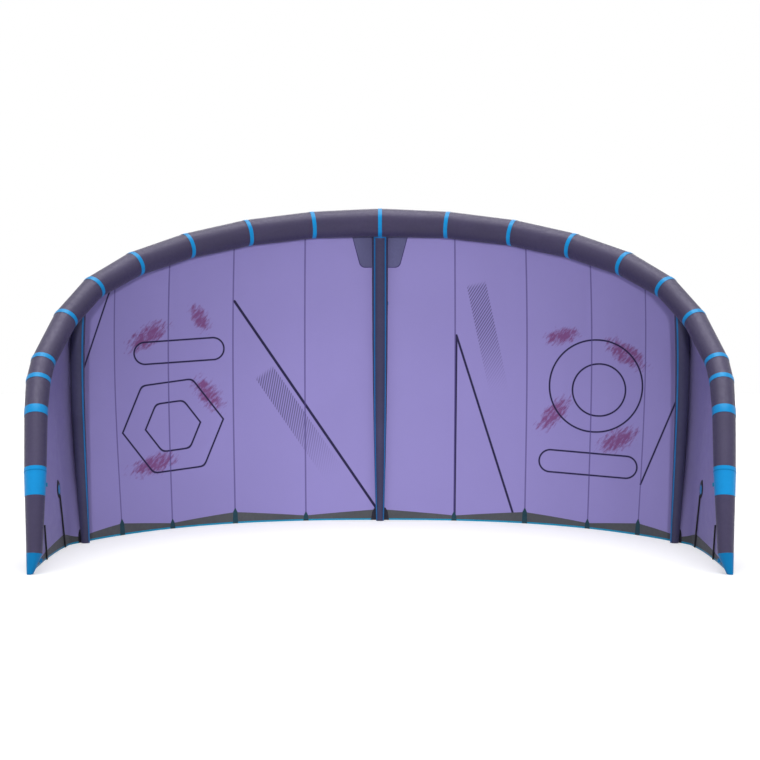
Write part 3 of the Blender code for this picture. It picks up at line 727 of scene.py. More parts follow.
@dataclass(frozen=True)
class Grips:
    """Finger grooves round the rim of a turned piece."""

    count: int
    rim: float
    depth: float
    breadth: float

    def cut(self, work: Work) -> None:
        """Press the grooves into the rim.

        Args:
            work: Turned piece, round the Z axis.
        """
        for vert in work.verts:
            radius = math.hypot(vert.co.x, vert.co.y)
            if radius < self.rim:
                continue
            turn = math.atan2(vert.co.y, vert.co.x) / FULL_TURN * self.count % 1
            off = min(turn, 1 - turn) * FULL_TURN / self.count * radius / (self.breadth / 2)
            depth = self.depth * max(0.0, 1 - off * off)
            vert.co.xy *= (radius - depth) / radius


@dataclass(frozen=True)
class GripBar:
    """A raised bar across a turned cap, to pull it by."""

    length: float
    width: float
    foot: float
    top: float

    def add(self, work: Work) -> None:
        """Set the bar across the cap."""
        middle = Matrix.Translation((0, 0, (self.foot + self.top) / 2))
        size = Matrix.Diagonal((self.length, self.width, self.top - self.foot, 1))
        bmesh.ops.create_cube(work, size=1, matrix=middle @ size)


@dataclass
class Turned:
    """A turned piece: a profile of radius and height pairs, spun round a placement's Z."""

    name: str
    profile: Sequence[tuple[float, float]]
    placement: Matrix
    steps: int = 72
    round_by: float = 0.0003
    rim_degrees: float = 50.0
    sharp_degrees: float = 35.0
    grips: Optional[Grips] = None
    bar: Optional[GripBar] = None

    def build(self) -> Piece:
        """Spin the profile, round its rims and add its grip bar.

        Returns:
            The new object.
        """
        work = bmesh.new()
        corners = [work.verts.new((radius, 0, height)) for radius, height in self.profile]
        meets_axis = self.profile[0][0] == 0
        ends = corners[1:] if meets_axis else corners[1:] + corners[:1]
        edges = [work.edges.new(pair) for pair in zip(corners, ends)]
        bmesh.ops.spin(
            work, geom=corners + edges, cent=(0, 0, 0), axis=UP, angle=FULL_TURN,
            steps=self.steps, use_merge=True,
        )
        bmesh.ops.remove_doubles(work, verts=work.verts, dist=MERGE_DISTANCE)
        if self.grips:
            self.grips.cut(work)
        if self.bar:
            self.bar.add(work)
        bmesh.ops.recalc_face_normals(work, faces=work.faces)
        bmesh.ops.bevel(
            work, geom=[edge for edge in work.edges if self.is_rim(edge)], offset=self.round_by,
            offset_type="OFFSET", segments=2, profile=0.5, affect="EDGES", clamp_overlap=True,
            material=-1,
        )
        bmesh.ops.transform(work, matrix=self.placement, verts=work.verts)
        return finished_object(self.name, work, self.sharp_degrees)

    def is_rim(self, edge: bmesh.types.BMEdge) -> bool:
        """Say whether an edge bends enough to be rounded."""
        bend = edge.calc_face_angle(0)
        return len(edge.link_faces) == 2 and bend > math.radians(self.rim_degrees)


# Materials


def linear(display: Colour) -> tuple[float, float, float, float]:
    """Turn 0 to 255 display values into a shader's linear colour, with its alpha."""
    shares = [value / 255 for value in display]
    red, green, blue = (s / 12.92 if s <= 0.04045 else ((s + 0.055) / 1.055) ** 2.4 for s in shares)
    return red, green, blue, 1.0


def toned(base: Sequence[float], factor: float, lift: float = 0.0) -> tuple[float, ...]:
    """Give a linear colour darker or lighter, with an even lift."""
    return (*(min(1, value * factor + lift) for value in base[:3]), 1)


class NodeBench:
    """A node tree of a material or the world, with short ways to add the nodes it uses."""

    def __init__(self, owner: Material | bpy.types.World) -> None:
        """Take the nodes of a new material or world into use."""
        owner.use_nodes = True
        self.owner = owner
        self.tree = owner.node_tree

    @classmethod
    def for_material(cls, name: str) -> "NodeBench":
        """Start a material."""
        return cls(bpy.data.materials.new(name))

    @property
    def shader(self) -> bpy.types.Node:
        """Give a material's shader."""
        return self.tree.nodes["Principled BSDF"]

    def add(self, kind: str, **settings: str | bool) -> bpy.types.Node:
        """Add a node of one kind, with its settings."""
        node = self.tree.nodes.new(kind)
        for key, value in settings.items():
            setattr(node, key, value)
        return node

    def feed(self, socket: Socket, value: Feed) -> None:
        """Link a socket, or set its value."""
        if isinstance(value, bpy.types.NodeSocket):
            self.tree.links.new(value, socket)
        else:
            socket.default_value = value

    def fed(self, node: bpy.types.Node, feeds: dict[str | int, Feed], output: int = 0) -> Socket:
        """Feed some of a node's sockets, by name or number, and give one of its outputs."""
        for key, value in feeds.items():
            self.feed(node.inputs[key], value)
        return node.outputs[output]

    def math(self, operation: str, *values: Feed) -> Socket:
        """Give the result of a sum."""
        node = self.add("ShaderNodeMath", operation=operation)
        return self.fed(node, dict(enumerate(values)))

    def chained(self, operation: str, values: Sequence[Socket]) -> Socket:
        """Give the result of a sum that takes in several values, two at a time."""
        result = values[0]
        for value in values[1:]:
            result = self.math(operation, result, value)
        return result

    def object_place(self) -> Socket:
        """Give the place on the object in metres."""
        return self.add("ShaderNodeTexCoord").outputs["Object"]

    def cloth_place(self) -> Socket:
        """Give the place on the piece's own map in metres."""
        return self.add("ShaderNodeUVMap", uv_map="Cloth").outputs[0]

    def split(self, vector: Socket) -> tuple[Socket, Socket, Socket]:
        """Split a vector into its three values."""
        node = self.add("ShaderNodeSeparateXYZ")
        self.feed(node.inputs[0], vector)
        return tuple(node.outputs)

    def join(self, x: Feed, y: Feed) -> Socket:
        """Join two values into a level vector."""
        return self.fed(self.add("ShaderNodeCombineXYZ"), {"X": x, "Y": y})

    def mapped(
        self, vector: Socket, origin: Sequence[float], turn: float,
        scale: Sequence[float] = (1, 1, 1),
    ) -> Socket:
        """Read a vector in a frame with its own origin, turn round Z and unit lengths."""
        node = self.add("ShaderNodeMapping", vector_type="TEXTURE")
        feeds = {"Vector": vector, "Location": origin, "Rotation": (0, 0, turn), "Scale": scale}
        return self.fed(node, feeds)

    def noise(
        self, vector: Socket, scale: float, detail: float = 2.0, rough: float = 0.5
    ) -> Socket:
        """Add noise: scale spots on a metre, and rough for how strong its finer layers are."""
        feeds = {"Vector": vector, "Scale": scale, "Detail": detail, "Roughness": rough}
        return self.fed(self.add("ShaderNodeTexNoise"), feeds)

    def range(
        self, value: Socket, low: float, high: float, to_low: float = 0.0, to_high: float = 1.0
    ) -> Socket:
        """Spread a range of values softly over another, and hold it at both ends."""
        node = self.add("ShaderNodeMapRange", clamp=True, interpolation_type="SMOOTHSTEP")
        ends = {"From Min": low, "From Max": high, "To Min": to_low, "To Max": to_high}
        return self.fed(node, {"Value": value, **ends})

    def mix(self, share: Feed, first: Feed, second: Feed) -> Socket:
        """Mix two colours."""
        node = self.add("ShaderNodeMix", data_type="RGBA")
        return self.fed(node, {0: share, 6: first, 7: second}, 2)

    def threads(self, pitch: float) -> Socket:
        """Give the height of a plain weave, from 0 to 1, whose threads lie a pitch apart."""
        across, along, _ = self.split(self.cloth_place())
        turns = [self.math("MULTIPLY", place, FULL_TURN / pitch) for place in (across, along)]
        waves = [self.math("SINE", turn) for turn in turns]
        return self.math("MULTIPLY_ADD", self.math("MULTIPLY", *waves), 0.5, 0.5)

    def grid_lines(self, pitch: float, width: float) -> Socket:
        """Draw the thicker threads of a square grid: 1 on the threads and 0 between them."""
        across, along, _ = self.split(self.cloth_place())
        offsets = [self.math("PINGPONG", place, pitch / 2) for place in (across, along)]
        lines = [self.range(offset, width / 2, width, 1, 0) for offset in offsets]
        return self.chained("MAXIMUM", lines)

    def bump(self, height: Socket, distance: float, strength: float) -> Socket:
        """Turn a height into a shading normal."""
        feeds = {"Strength": strength, "Distance": distance, "Height": height}
        return self.fed(self.add("ShaderNodeBump"), feeds)

    def seen_share(self) -> Socket:
        """Give 1 where the eye sees a place itself, in metal or through glass, and else 0."""
        path = self.add("ShaderNodeLightPath")
        rays = ("Is Camera Ray", "Is Glossy Ray", "Is Transmission Ray")
        return self.chained("MAXIMUM", [path.outputs[ray] for ray in rays])

    def finish(
        self, colour: Feed, roughness: Feed, normal: Optional[Socket] = None, **fixed: Feed
    ) -> Material:
        """Feed the shader.

        Args:
            colour: Base colour.
            roughness: Roughness, a value or a socket.
            normal: Shading normal.
            fixed: Values that are the same all over, by socket name with _ for spaces.

        Returns:
            The material.
        """
        self.feed(self.shader.inputs["Base Color"], colour)
        self.feed(self.shader.inputs["Roughness"], roughness)
        if normal is not None:
            self.feed(self.shader.inputs["Normal"], normal)
        for name, value in fixed.items():
            self.shader.inputs[name.replace("_", " ")].default_value = value
        return self.owner


@dataclass(frozen=True)
class WovenFinish:
    """Woven cloth of one colour, with threads, soft marks, a sheen and maybe a ripstop grid."""

    name: str
    colour: Colour
    roughness: float = 0.62
    sheen: float = 0.15
    gloss: float = 0.35
    gloss_tint: tuple[float, float, float] = (1.0, 1.0, 1.0)
    pitch: float = 0.0016
    marks: float = 0.06
    grid_pitch: float = 0.0
    grid_width: float = 0.0008
    grid_shade: float = 0.35
    grid_lift: float = 1.5
    soft_scale: float = 3.0
    fine_scale: float = 60.0
    fine_shade: float = 0.25
    wear: float = 0.06
    sheen_roughness: float = 0.4
    thread_height: float = 0.0002
    thread_strength: float = 0.5

    def build(self) -> Material:
        """Make the material.

        Returns:
            The material.
        """
        bench = NodeBench.for_material(self.name)
        place = bench.object_place()
        soft = bench.noise(place, self.soft_scale, 3.0)
        fine = bench.noise(place, self.fine_scale)
        base = linear(self.colour)
        darker, lighter = toned(base, 1 - 2 * self.marks), toned(base, 1 + 2 * self.marks)
        colour = bench.mix(bench.range(soft, 0.3, 0.7), darker, lighter)
        colour = bench.mix(bench.range(fine, 0.35, 0.65, 0, self.fine_shade), colour, darker)
        height = bench.threads(self.pitch)
        if self.grid_pitch:
            lines = bench.grid_lines(self.grid_pitch, self.grid_width)
            colour = bench.mix(bench.math("MULTIPLY", lines, self.grid_shade), colour, darker)
            height = bench.math("MULTIPLY_ADD", lines, self.grid_lift, height)
        low, high = self.roughness - self.wear, self.roughness + self.wear
        return bench.finish(
            colour, bench.range(fine, 0.3, 0.7, low, high),
            bench.bump(height, self.thread_height, self.thread_strength),
            Sheen_Weight=self.sheen, Sheen_Roughness=self.sheen_roughness,
            Specular_IOR_Level=self.gloss, Specular_Tint=(*self.gloss_tint, 1.0),
        )


@dataclass(frozen=True)
class FilmFinish:
    """Milky clear bladder film with soft creases."""

    name: str = "bladder_film_finish"
    colour: Colour = (214, 220, 224)
    crease_scale: float = 40.0
    crease_height: float = 0.001
    crease_strength: float = 0.4
    cloudiness: float = 0.8
    roughness: tuple[float, float] = (0.2, 0.4)

    def build(self) -> Material:
        """Make the material.

        Returns:
            The material.
        """
        bench = NodeBench.for_material(self.name)
        creases = bench.noise(bench.object_place(), self.crease_scale, 4.0, 0.6)
        base = linear(self.colour)
        colour = bench.mix(bench.range(creases, 0.4, 0.7), base, toned(base, self.cloudiness))
        rough = bench.range(creases, 0.3, 0.7, *self.roughness)
        normal = bench.bump(creases, self.crease_height, self.crease_strength)
        return bench.finish(colour, rough, normal)


@dataclass(frozen=True)
class MouldedFinish:
    """Moulded plastic with a fine grain and slightly polished spots."""

    name: str
    colour: Colour
    roughness: float = 0.4
    wear: float = 0.08
    grain_scale: float = 900.0
    grain_height: float = 0.0002
    grain_strength: float = 0.3
    soft_scale: float = 30.0
    polish: float = 1.25
    polish_lift: float = 0.01

    def build(self) -> Material:
        """Make the material.

        Returns:
            The material.
        """
        bench = NodeBench.for_material(self.name)
        place = bench.object_place()
        grain = bench.noise(place, self.grain_scale)
        soft = bench.noise(place, self.soft_scale)
        base = linear(self.colour)
        worn = toned(base, self.polish, self.polish_lift)
        colour = bench.mix(bench.range(soft, 0.45, 0.75, 0, 0.5), base, worn)
        low, high = self.roughness - self.wear, self.roughness + self.wear
        rough = bench.range(soft, 0.3, 0.7, low, high)
        return bench.finish(
            colour, rough, bench.bump(grain, self.grain_height, self.grain_strength)
        )


@dataclass(frozen=True)
class Stroke:
    """A straight printed stripe between two points of the print sheet."""

    start: tuple[float, float]
    end: tuple[float, float]
    width: float


@dataclass(frozen=True)
class Outline:
    """A printed outline: a bar with round ends or, with a short one, a ring, or a hexagon."""

    centre: tuple[float, float]
    half_length: float
    radius: float
    turn_degrees: float
    is_hexagon: bool = False
    width: float = 1.7


@dataclass(frozen=True)
class Smudge:
    """A brushed cloud of print."""

    centre: tuple[float, float]
    half_size: tuple[float, float]
    turn_degrees: float


@dataclass(frozen=True)
class HatchBand:
    """A slanted band of fine hatching that fades toward its far end."""

    start: tuple[float, float]
    length: float
    breadth: float
    turn_degrees: float


@dataclass(frozen=True)
class CanopyFinish:
    """Printed ripstop cloth.

    The prints are laid out on a sheet that hangs square to the line from the rider's eye to the
    kite. Its units are thousandths of the distance to the eye, across and up from its middle.
    """

    name: str = "canopy_cloth_finish"
    colour: Colour = (146, 136, 195)
    ink: Colour = (26, 20, 58)
    plum: Colour = (112, 44, 98)
    overlap: Colour = (74, 62, 122)
    thread: Colour = (50, 40, 90)
    seam_width: float = 0.0085
    seams: tuple[float, ...] = ()
    eye: tuple[float, float, float] = (0, 0, 0)
    grid_pitch: float = 0.006
    grid_width: float = 0.0009
    ink_blur: float = 0.3
    corner_radius: float = 6.0
    hatch_pitch: float = 1.6
    hatch_lines: tuple[float, float] = (0.5, 1.1)
    hatch_blur: float = 0.6
    hatch_ink: float = 0.6
    brush_size: tuple[float, float, float] = (26, 8, 1)
    brush_degrees: float = 50
    brush_cover: float = 0.42
    brush_edges: tuple[float, float, float, float] = (0.68, 0.96, 0, 0.8)
    strokes: tuple[Stroke, ...] = (
        Stroke((-145.5, 78.7), (-3.5, -128.3), 2.6),
        Stroke((76.5, 44.7), (74.5, -137.3), 2.2),
        Stroke((76.5, 44.7), (133.5, -135.3), 2.2),
        Stroke((-268, 96), (-297.5, 7.7), 1.6),
        Stroke((296.5, -20.3), (260.5, -104.3), 1.8),
    )
    outlines: tuple[Outline, ...] = (
        Outline((-201, 29), 34, 11, 4),
        Outline((-207, -46), 0, 44, 8, is_hexagon=True),
        Outline((-207, -46), 0, 24, 8, is_hexagon=True),
        Outline((216, -6), 0.5, 46, 0),
        Outline((219, -10), 0.5, 26, 0),
        Outline((208, -84), 38, 11, -5),
    )
    smudges: tuple[Smudge, ...] = (
        Smudge((-232, 44), (34, 15), 35),
        Smudge((-172, -14), (30, 15), -48),
        Smudge((-226, -84), (36, 14), 20),
        Smudge((-180, 62), (22, 12), -60),
        Smudge((174, -34), (32, 14), 45),
        Smudge((246, 26), (34, 15), -35),
        Smudge((238, -60), (30, 15), 25),
        Smudge((182, 44), (26, 12), 15),
    )
    hatches: tuple[HatchBand, ...] = (
        HatchBand((-126, 3), 132, 22, -55.5),
        HatchBand((86, 96), 120, 20, -78),
    )

    def sheet_place(self, bench: NodeBench) -> Socket:
        """Find the place on the print sheet."""
        x, y, z = bench.split(bench.object_place())
        distance = bench.math("MULTIPLY", bench.math("SUBTRACT", y, self.eye[1]), 0.001)
        across = bench.math("DIVIDE", bench.math("SUBTRACT", x, self.eye[0]), distance)
        up = bench.math("DIVIDE", bench.math("SUBTRACT", z, self.eye[2]), distance)
        return bench.join(across, up)

    @staticmethod
    def bar_distance(bench: NodeBench, local: Socket, half_length: float) -> Socket:
        """Measure how far a place in a bar's frame lies from the bar's middle line."""
        x, y, _ = bench.split(local)
        past = bench.math("SUBTRACT", bench.math("ABSOLUTE", x), half_length)
        past = bench.math("MAXIMUM", past, 0.0)
        square = bench.math("MULTIPLY", y, y)
        return bench.math("SQRT", bench.math("MULTIPLY_ADD", past, past, square))

    def hexagon_distance(self, bench: NodeBench, local: Socket) -> Socket:
        """Measure how far out a place in a hexagon's frame lies, square to its sides."""
        x, y, _ = (bench.math("ABSOLUTE", value) for value in bench.split(local))
        half = bench.math("MULTIPLY", y, math.sin(math.pi / 6))
        slanted = bench.math("MULTIPLY_ADD", x, math.cos(math.pi / 6), half)
        return bench.math("SMOOTH_MAX", slanted, y, self.corner_radius)

    def line_mark(self, bench: NodeBench, distance: Socket, width: float) -> Socket:
        """Give 1 on a printed line and 0 beside it."""
        low, high = width / 2 - self.ink_blur, width / 2 + self.ink_blur
        return bench.range(distance, low, high, 1, 0)

    def ink_share(self, bench: NodeBench, sheet: Socket) -> Socket:
        """Print the stripes and outlines.

        Args:
            bench: Material's bench.
            sheet: Place on the print sheet.

        Returns:
            How much dark ink lies at each place.
        """
        marks = []
        for stroke in self.strokes:
            start, end = Vector((*stroke.start, 0)), Vector((*stroke.end, 0))
            run = end - start
            local = bench.mapped(sheet, (start + end) / 2, math.atan2(run.y, run.x))
            distance = self.bar_distance(bench, local, run.length / 2)
            marks.append(self.line_mark(bench, distance, stroke.width))
        for outline in self.outlines:
            local = bench.mapped(sheet, (*outline.centre, 0), math.radians(outline.turn_degrees))
            if outline.is_hexagon:
                distance = self.hexagon_distance(bench, local)
            else:
                distance = self.bar_distance(bench, local, outline.half_length)
            off = bench.math("ABSOLUTE", bench.math("SUBTRACT", distance, outline.radius))
            marks.append(self.line_mark(bench, off, outline.width))
        return bench.chained("MAXIMUM", marks)

    def hatch_share(self, bench: NodeBench, sheet: Socket) -> Socket:
        """Print the bands of fine hatching.

        Args:
            bench: Material's bench.
            sheet: Place on the print sheet.

        Returns:
            How much hatching lies at each place.
        """
        marks = []
        for band in self.hatches:
            local = bench.mapped(sheet, (*band.start, 0), math.radians(band.turn_degrees))
            x, y, _ = bench.split(local)
            edge = band.breadth - self.hatch_blur
            begin, fade = bench.range(x, 0, 6), bench.range(x, band.length * 0.3, band.length, 1, 0)
            near, far = bench.range(y, 0, self.hatch_blur), bench.range(y, edge, band.breadth, 1, 0)
            waves = bench.math("PINGPONG", bench.math("ADD", x, y), self.hatch_pitch)
            inside = bench.math("MULTIPLY", begin, fade)
            across = bench.math("MULTIPLY", near, far)
            lines = bench.range(waves, *self.hatch_lines)
            marks.append(bench.chained("MULTIPLY", [inside, across, lines]))
        return bench.chained("MAXIMUM", marks)

    def smudge_share(self, bench: NodeBench, sheet: Socket) -> Socket:
        """Print the brushed clouds.

        Args:
            bench: Material's bench.
            sheet: Place on the print sheet.

        Returns:
            How much plum lies at each place.
        """
        marks = []
        for smudge in self.smudges:
            turn = math.radians(smudge.turn_degrees)
            local = bench.mapped(sheet, (*smudge.centre, 0), turn, (*smudge.half_size, 1))
            far = bench.add("ShaderNodeVectorMath", operation="LENGTH")
            bench.feed(far.inputs[0], local)
            marks.append(bench.range(far.outputs["Value"], 0.2, 1.25, 1, 0))
        turn = math.radians(self.brush_degrees)
        brush = bench.noise(bench.mapped(sheet, (0, 0, 0), turn, self.brush_size), 3.0, 5.0, 0.65)
        cover = bench.math("MULTIPLY", bench.chained("MAXIMUM", marks), self.brush_cover)
        return bench.range(bench.math("ADD", brush, cover), *self.brush_edges)

    def seam_share(self, bench: NodeBench) -> tuple[Socket, Socket]:
        """Find the seams.

        Args:
            bench: Material's bench.

        Returns:
            Where two cloths overlap at a seam, and where its stitches lie.
        """
        across, _, _ = bench.split(bench.cloth_place())
        across = bench.math("ABSOLUTE", across)
        offsets = [bench.math("SUBTRACT", across, seam) for seam in self.seams]
        nearest = bench.chained("MINIMUM", [bench.math("ABSOLUTE", offset) for offset in offsets])
        half = self.seam_width / 2
        overlap = bench.range(nearest, half, half + 0.001, 1, 0)
        stitch_line = bench.math("ABSOLUTE", bench.math("SUBTRACT", nearest, self.seam_width / 3))
        return overlap, bench.range(stitch_line, 0.0005, 0.0012, 1, 0)

    def build(self) -> Material:
        """Make the material.

        Returns:
            The material.
        """
        bench = NodeBench.for_material(self.name)
        sheet = self.sheet_place(bench)
        base, ink = linear(self.colour), linear(self.ink)
        shade = bench.noise(bench.object_place(), 0.9, 3.0)
        lines = bench.grid_lines(self.grid_pitch, self.grid_width)
        overlap, stitches = self.seam_share(bench)
        hatch = bench.math("MULTIPLY", self.hatch_share(bench, sheet), self.hatch_ink)
        colour = base
        for share, over in (
            (bench.range(shade, 0.35, 0.65), toned(base, 0.94)),
            (bench.math("MULTIPLY", lines, 0.6), toned(base, 0.86)),
            (self.smudge_share(bench, sheet), linear(self.plum)),
            (hatch, ink),
            (self.ink_share(bench, sheet), ink),
            (bench.math("MULTIPLY", overlap, 0.62), linear(self.overlap)),
            (bench.math("MULTIPLY", stitches, 0.3), linear(self.thread)),
        ):
            colour = bench.mix(share, colour, over)
        height = bench.math("MULTIPLY_ADD", overlap, 2.0, lines)
        rough = bench.range(bench.noise(bench.object_place(), 20.0), 0.3, 0.7, 0.5, 0.62)
        normal = bench.bump(height, 0.0003, 0.5)
        return bench.finish(
            colour, rough, normal, Sheen_Weight=0.05, Sheen_Roughness=0.5, Specular_IOR_Level=0.3
        )


class Finishes:
    """Every finish of the kite, made once."""

    def __init__(self, eye: Vector, seams: Sequence[float]) -> None:
        """Make the materials.

        Args:
            eye: Rider's eye, which the prints of the canopy are laid out from.
            seams: How far from the middle the canopy's seams lie on its map.
        """
        plum_glow, cool_glow = (0.88, 0.84, 1.0), (0.5, 0.9, 1.0)
        self.casing = WovenFinish(
            "casing_cloth_finish", (52, 46, 74), 0.50, 0.05, 0.55, plum_glow, grid_pitch=0.012
        ).build()
        self.strut = WovenFinish(
            "strut_cloth_finish", (59, 57, 85), 0.58, 0.03, 0.3, grid_pitch=0.012
        ).build()
        self.blue = WovenFinish(
            "blue_tape_finish", (8, 134, 200), 0.42, 0.03, 0.5, cool_glow, 0.0012, 0.03
        ).build()
        self.patch = WovenFinish(
            "tip_patch_finish", (5, 116, 176), 0.5, 0.03, 0.3, cool_glow, 0.0012, 0.04
        ).build()
        self.piping = WovenFinish(
            "piping_finish", (16, 104, 164), 0.5, 0.03, pitch=0.001, marks=0.03
        ).build()
        self.hem = WovenFinish(
            "hem_tape_finish", (6, 138, 178), 0.5, 0.03, pitch=0.001, marks=0.04
        ).build()
        self.grey = WovenFinish(
            "grey_cloth_finish", (77, 79, 83), 0.7, 0.05, grid_pitch=0.006
        ).build()
        self.window = WovenFinish(
            "middle_patch_finish", (92, 91, 129), 0.65, 0.05, grid_pitch=0.010
        ).build()
        self.edging = WovenFinish("patch_edging_finish", (52, 42, 96), 0.7, 0.05).build()
        self.black = WovenFinish(
            "pocket_cloth_finish", (14, 14, 22), 0.6, 0.05, pitch=0.0012
        ).build()
        self.load = WovenFinish("load_patch_finish", (24, 58, 70), 0.65, 0.05).build()
        self.foot = WovenFinish("strut_foot_finish", (32, 32, 44), 0.65, 0.05).build()
        self.pale = WovenFinish(
            "tip_edging_finish", (150, 158, 182), 0.6, 0.05, pitch=0.001
        ).build()
        self.film = FilmFinish().build()
        self.moulded = MouldedFinish("valve_plastic_finish", (28, 29, 33), 0.42).build()
        self.plug = MouldedFinish("plug_plastic_finish", (20, 140, 214), 0.32).build()
        self.canopy = CanopyFinish(eye=tuple(eye), seams=tuple(seams)).build()


class Slots(Enum):
    """The record's material slots."""

    CASING = "casing_cloth"
    TAPE = "blue_tape"
    CANOPY = "canopy_cloth"
    GREY = "grey_cloth"
    BATTEN = "batten_cloth"
    FILM = "bladder_film"
    VALVE = "valve_plastic"
    PLUG = "plug_plastic"


def dress(
    piece: Piece, material: Material, replaces: Sequence[str] = (), body: str = ROOT
) -> Piece:
    """Give a piece its material and its place in the kite.

    Args:
        piece: Piece.
        material: Its material.
        replaces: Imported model's nodes that it stands for.
        body: Body that it moves with.

    Returns:
        The piece.
    """
    piece.data.materials.clear()
    piece.data.materials.append(material)
    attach(piece, body)
    if replaces:
        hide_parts(*replaces)
    LOG.info("%s: %d faces", piece.name, len(piece.data.polygons))
    return piece


def dress_padded(piece: Piece, material: Material, stands_for: str) -> None:
    """Dress an air-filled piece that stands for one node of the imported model."""
    dress(piece, material, [stands_for])


# Sub-assemblies


@dataclass
class LeadingEdge:
    """The air tube's casing, bladder, seam tapes, wide bands, closed tips and line tabs."""

    line: TubeLine
    finishes: Finishes
    sides: int = 72
    step: float = 0.045
    bend: float = 0.016
    cloth_gap: float = 0.0003
    casing_thickness: float = 0.0010
    tape_thickness: float = 0.0008
    tape_width: float = 0.026
    wide_tape_width: float = 0.044
    tape_count: int = 9
    band_kinks: tuple[int, int] = (10, 11)
    ridge_place: float = 0.020
    ridge_width: float = 0.006
    tip_kink: int = 12
    tip_gap: float = 0.0004
    tip_tab_share: float = 0.982
    tab_size: tuple[float, float, float] = (0.020, 0.0032, 0.025)
    tab_pinch: float = 0.35
    tab_round: float = 0.0008
    tab_sink: float = 0.00005
    tab_quarters: float = -1 / 3
    pucker_height: float = 0.0016
    pucker_reach: float = 0.035
    map_radius: float = 0.07
    tip_map_radius: float = 0.04
    bladder_gap: float = 0.0058
    bladder_end: float = 0.985
    lengths: tuple[tuple[str, int, int], ...] = (
        ("middle", -3, 3),
        ("inner_left", -8, -3),
        ("inner_right", 3, 8),
        ("outer_left", -12, -8),
        ("outer_right", 8, 12),
    )

    def build(self) -> None:
        """Make and dress every piece of the leading edge."""
        for name, near, far in self.lengths:
            self.casing(name, near, far)
        self.tape("seam_tape_middle", self.line.share_of(0), self.tape_width)
        for side in Side:
            for number in range(1, self.tape_count + 1):
                width = self.wide_tape_width if number == self.tape_count else self.tape_width
                name = f"seam_tape_{side.word}_{number}"
                self.tape(name, self.line.share_of(number, side), width)
            self.wide_band(side)
            self.tip(side)
        self.bladder()

    def bladder(self) -> None:
        """Make the air bladder that fills the casing from tip to tip."""
        places = self.line.stations(-self.bladder_end, self.bladder_end, self.step, self.bend)
        hoops = [self.line.hoop(share, -self.bladder_gap) for share in places]
        girth = FULL_TURN * self.map_radius
        piece = Loft("edge_bladder_film", hoops, self.sides, girth).build()
        dress_padded(piece, self.finishes.film, "leading_edge_bladder")

    def share_at(self, kink: int) -> float:
        """Give the place of a kink that is counted below 0 on the left."""
        return self.line.share_of(abs(kink), Side.RIGHT if kink >= 0 else Side.LEFT)

    def pucker(self, angle: float, place: float) -> float:
        """Give how far small gathers beside each seam lift the cloth, as a share of its radius."""
        seams = self.line.shares[3:-3]
        nearest = min(abs(place - share) for share in seams) * self.line.half_length
        fade = math.exp(-nearest / self.pucker_reach)
        ripple = 0.5 + 0.5 * math.cos(11 * angle + 3 * math.sin(2 * angle + 40 * round(place, 1)))
        return -self.pucker_height / self.map_radius * fade * ripple

    def walls(
        self, start: float, end: float, low: float, high: float
    ) -> tuple[list[float], list[Matrix]]:
        """Give the shares and hoops of a band, out along its high side and back on its low one."""
        places = self.line.stations(start, end, self.step, self.bend)
        hoops = [self.line.hoop(share, high) for share in places]
        hoops += [self.line.hoop(share, low) for share in reversed(places)]
        return places + places[::-1], hoops

    def casing(self, name: str, near: int, far: int) -> None:
        """Make one sewn length of the casing.

        Args:
            name: Its name.
            near: Kink it starts at.
            far: Kink it ends at.
        """
        start, end = self.share_at(near), self.share_at(far)
        places, hoops = self.walls(start, end, -self.casing_thickness, 0.0)
        piece = Loft(
            f"casing_skin_{name}", hoops, self.sides, FULL_TURN * self.map_radius, is_band=True,
            places=places, relief=self.pucker,
        ).build()
        for item in piece.data.uv_layers["Cloth"].data:
            item.uv = (item.uv[0], item.uv[1] * self.line.half_length)
        dress_padded(piece, self.finishes.casing, f"leading_edge_casing_{name}")

    def sleeve(self, name: str, start: float, end: float, low: float, high: float) -> Piece:
        """Make a band with two sides round the tube, between two shares and two depths."""
        _, hoops = self.walls(start, end, low, high)
        girth = FULL_TURN * self.line.diameter / 2
        return Loft(name, hoops, self.sides, girth, is_band=True).build()

    def tape(self, name: str, share: float, width: float) -> None:
        """Make one seam tape of a width at a share along the tube."""
        half = width / 2 / self.line.half_length
        top = self.cloth_gap + self.tape_thickness
        piece = self.sleeve(f"{name}_ring", share - half, share + half, self.cloth_gap, top)
        dress(piece, self.finishes.blue, [name])

    def wide_band(self, side: Side) -> None:
        """Make the wide band with its seam and its folded line tab.

        Args:
            side: Side of the kite.
        """
        start, end = sorted(self.line.share_of(kink, side) for kink in self.band_kinks)
        node = f"front_line_band_{side.word}"
        top = self.cloth_gap + self.tape_thickness
        band = self.sleeve(f"{node}_wrap", start, end, self.cloth_gap, top)
        dress(band, self.finishes.blue, [node])
        offset = side.value * self.ridge_place / self.line.half_length
        centre = self.line.share_of(self.band_kinks[0], side) + offset
        half = self.ridge_width / 2 / self.line.half_length
        ridge_top = top + self.tape_thickness
        ridge = self.sleeve(f"{node}_seam", centre - half, centre + half, top, ridge_top)
        dress(ridge, self.finishes.patch)
        self.tab(f"{node}_loop", (start + end) / 2, self.tab_sink, self.finishes.hem)

    def tip(self, side: Side) -> None:
        """Make the closed tip patch with its folded line tab.

        Args:
            side: Side of the kite.
        """
        start = self.line.share_of(self.tip_kink, side)
        places = self.line.stations(*sorted((start, float(side.value))), self.step, self.bend)
        hoops = [self.line.hoop(share, self.tip_gap) for share in places]
        hoops[0 if side is Side.LEFT else -1] = self.line.hoop(side.value)
        name = f"tip_patch_{side.word}"
        girth = FULL_TURN * self.tip_map_radius
        patch = Loft(f"{name}_sock", hoops, self.sides, girth).build()
        dress(patch, self.finishes.patch, [name])
        self.tab(f"{name}_loop", side.value * self.tip_tab_share, 0.0, self.finishes.patch)

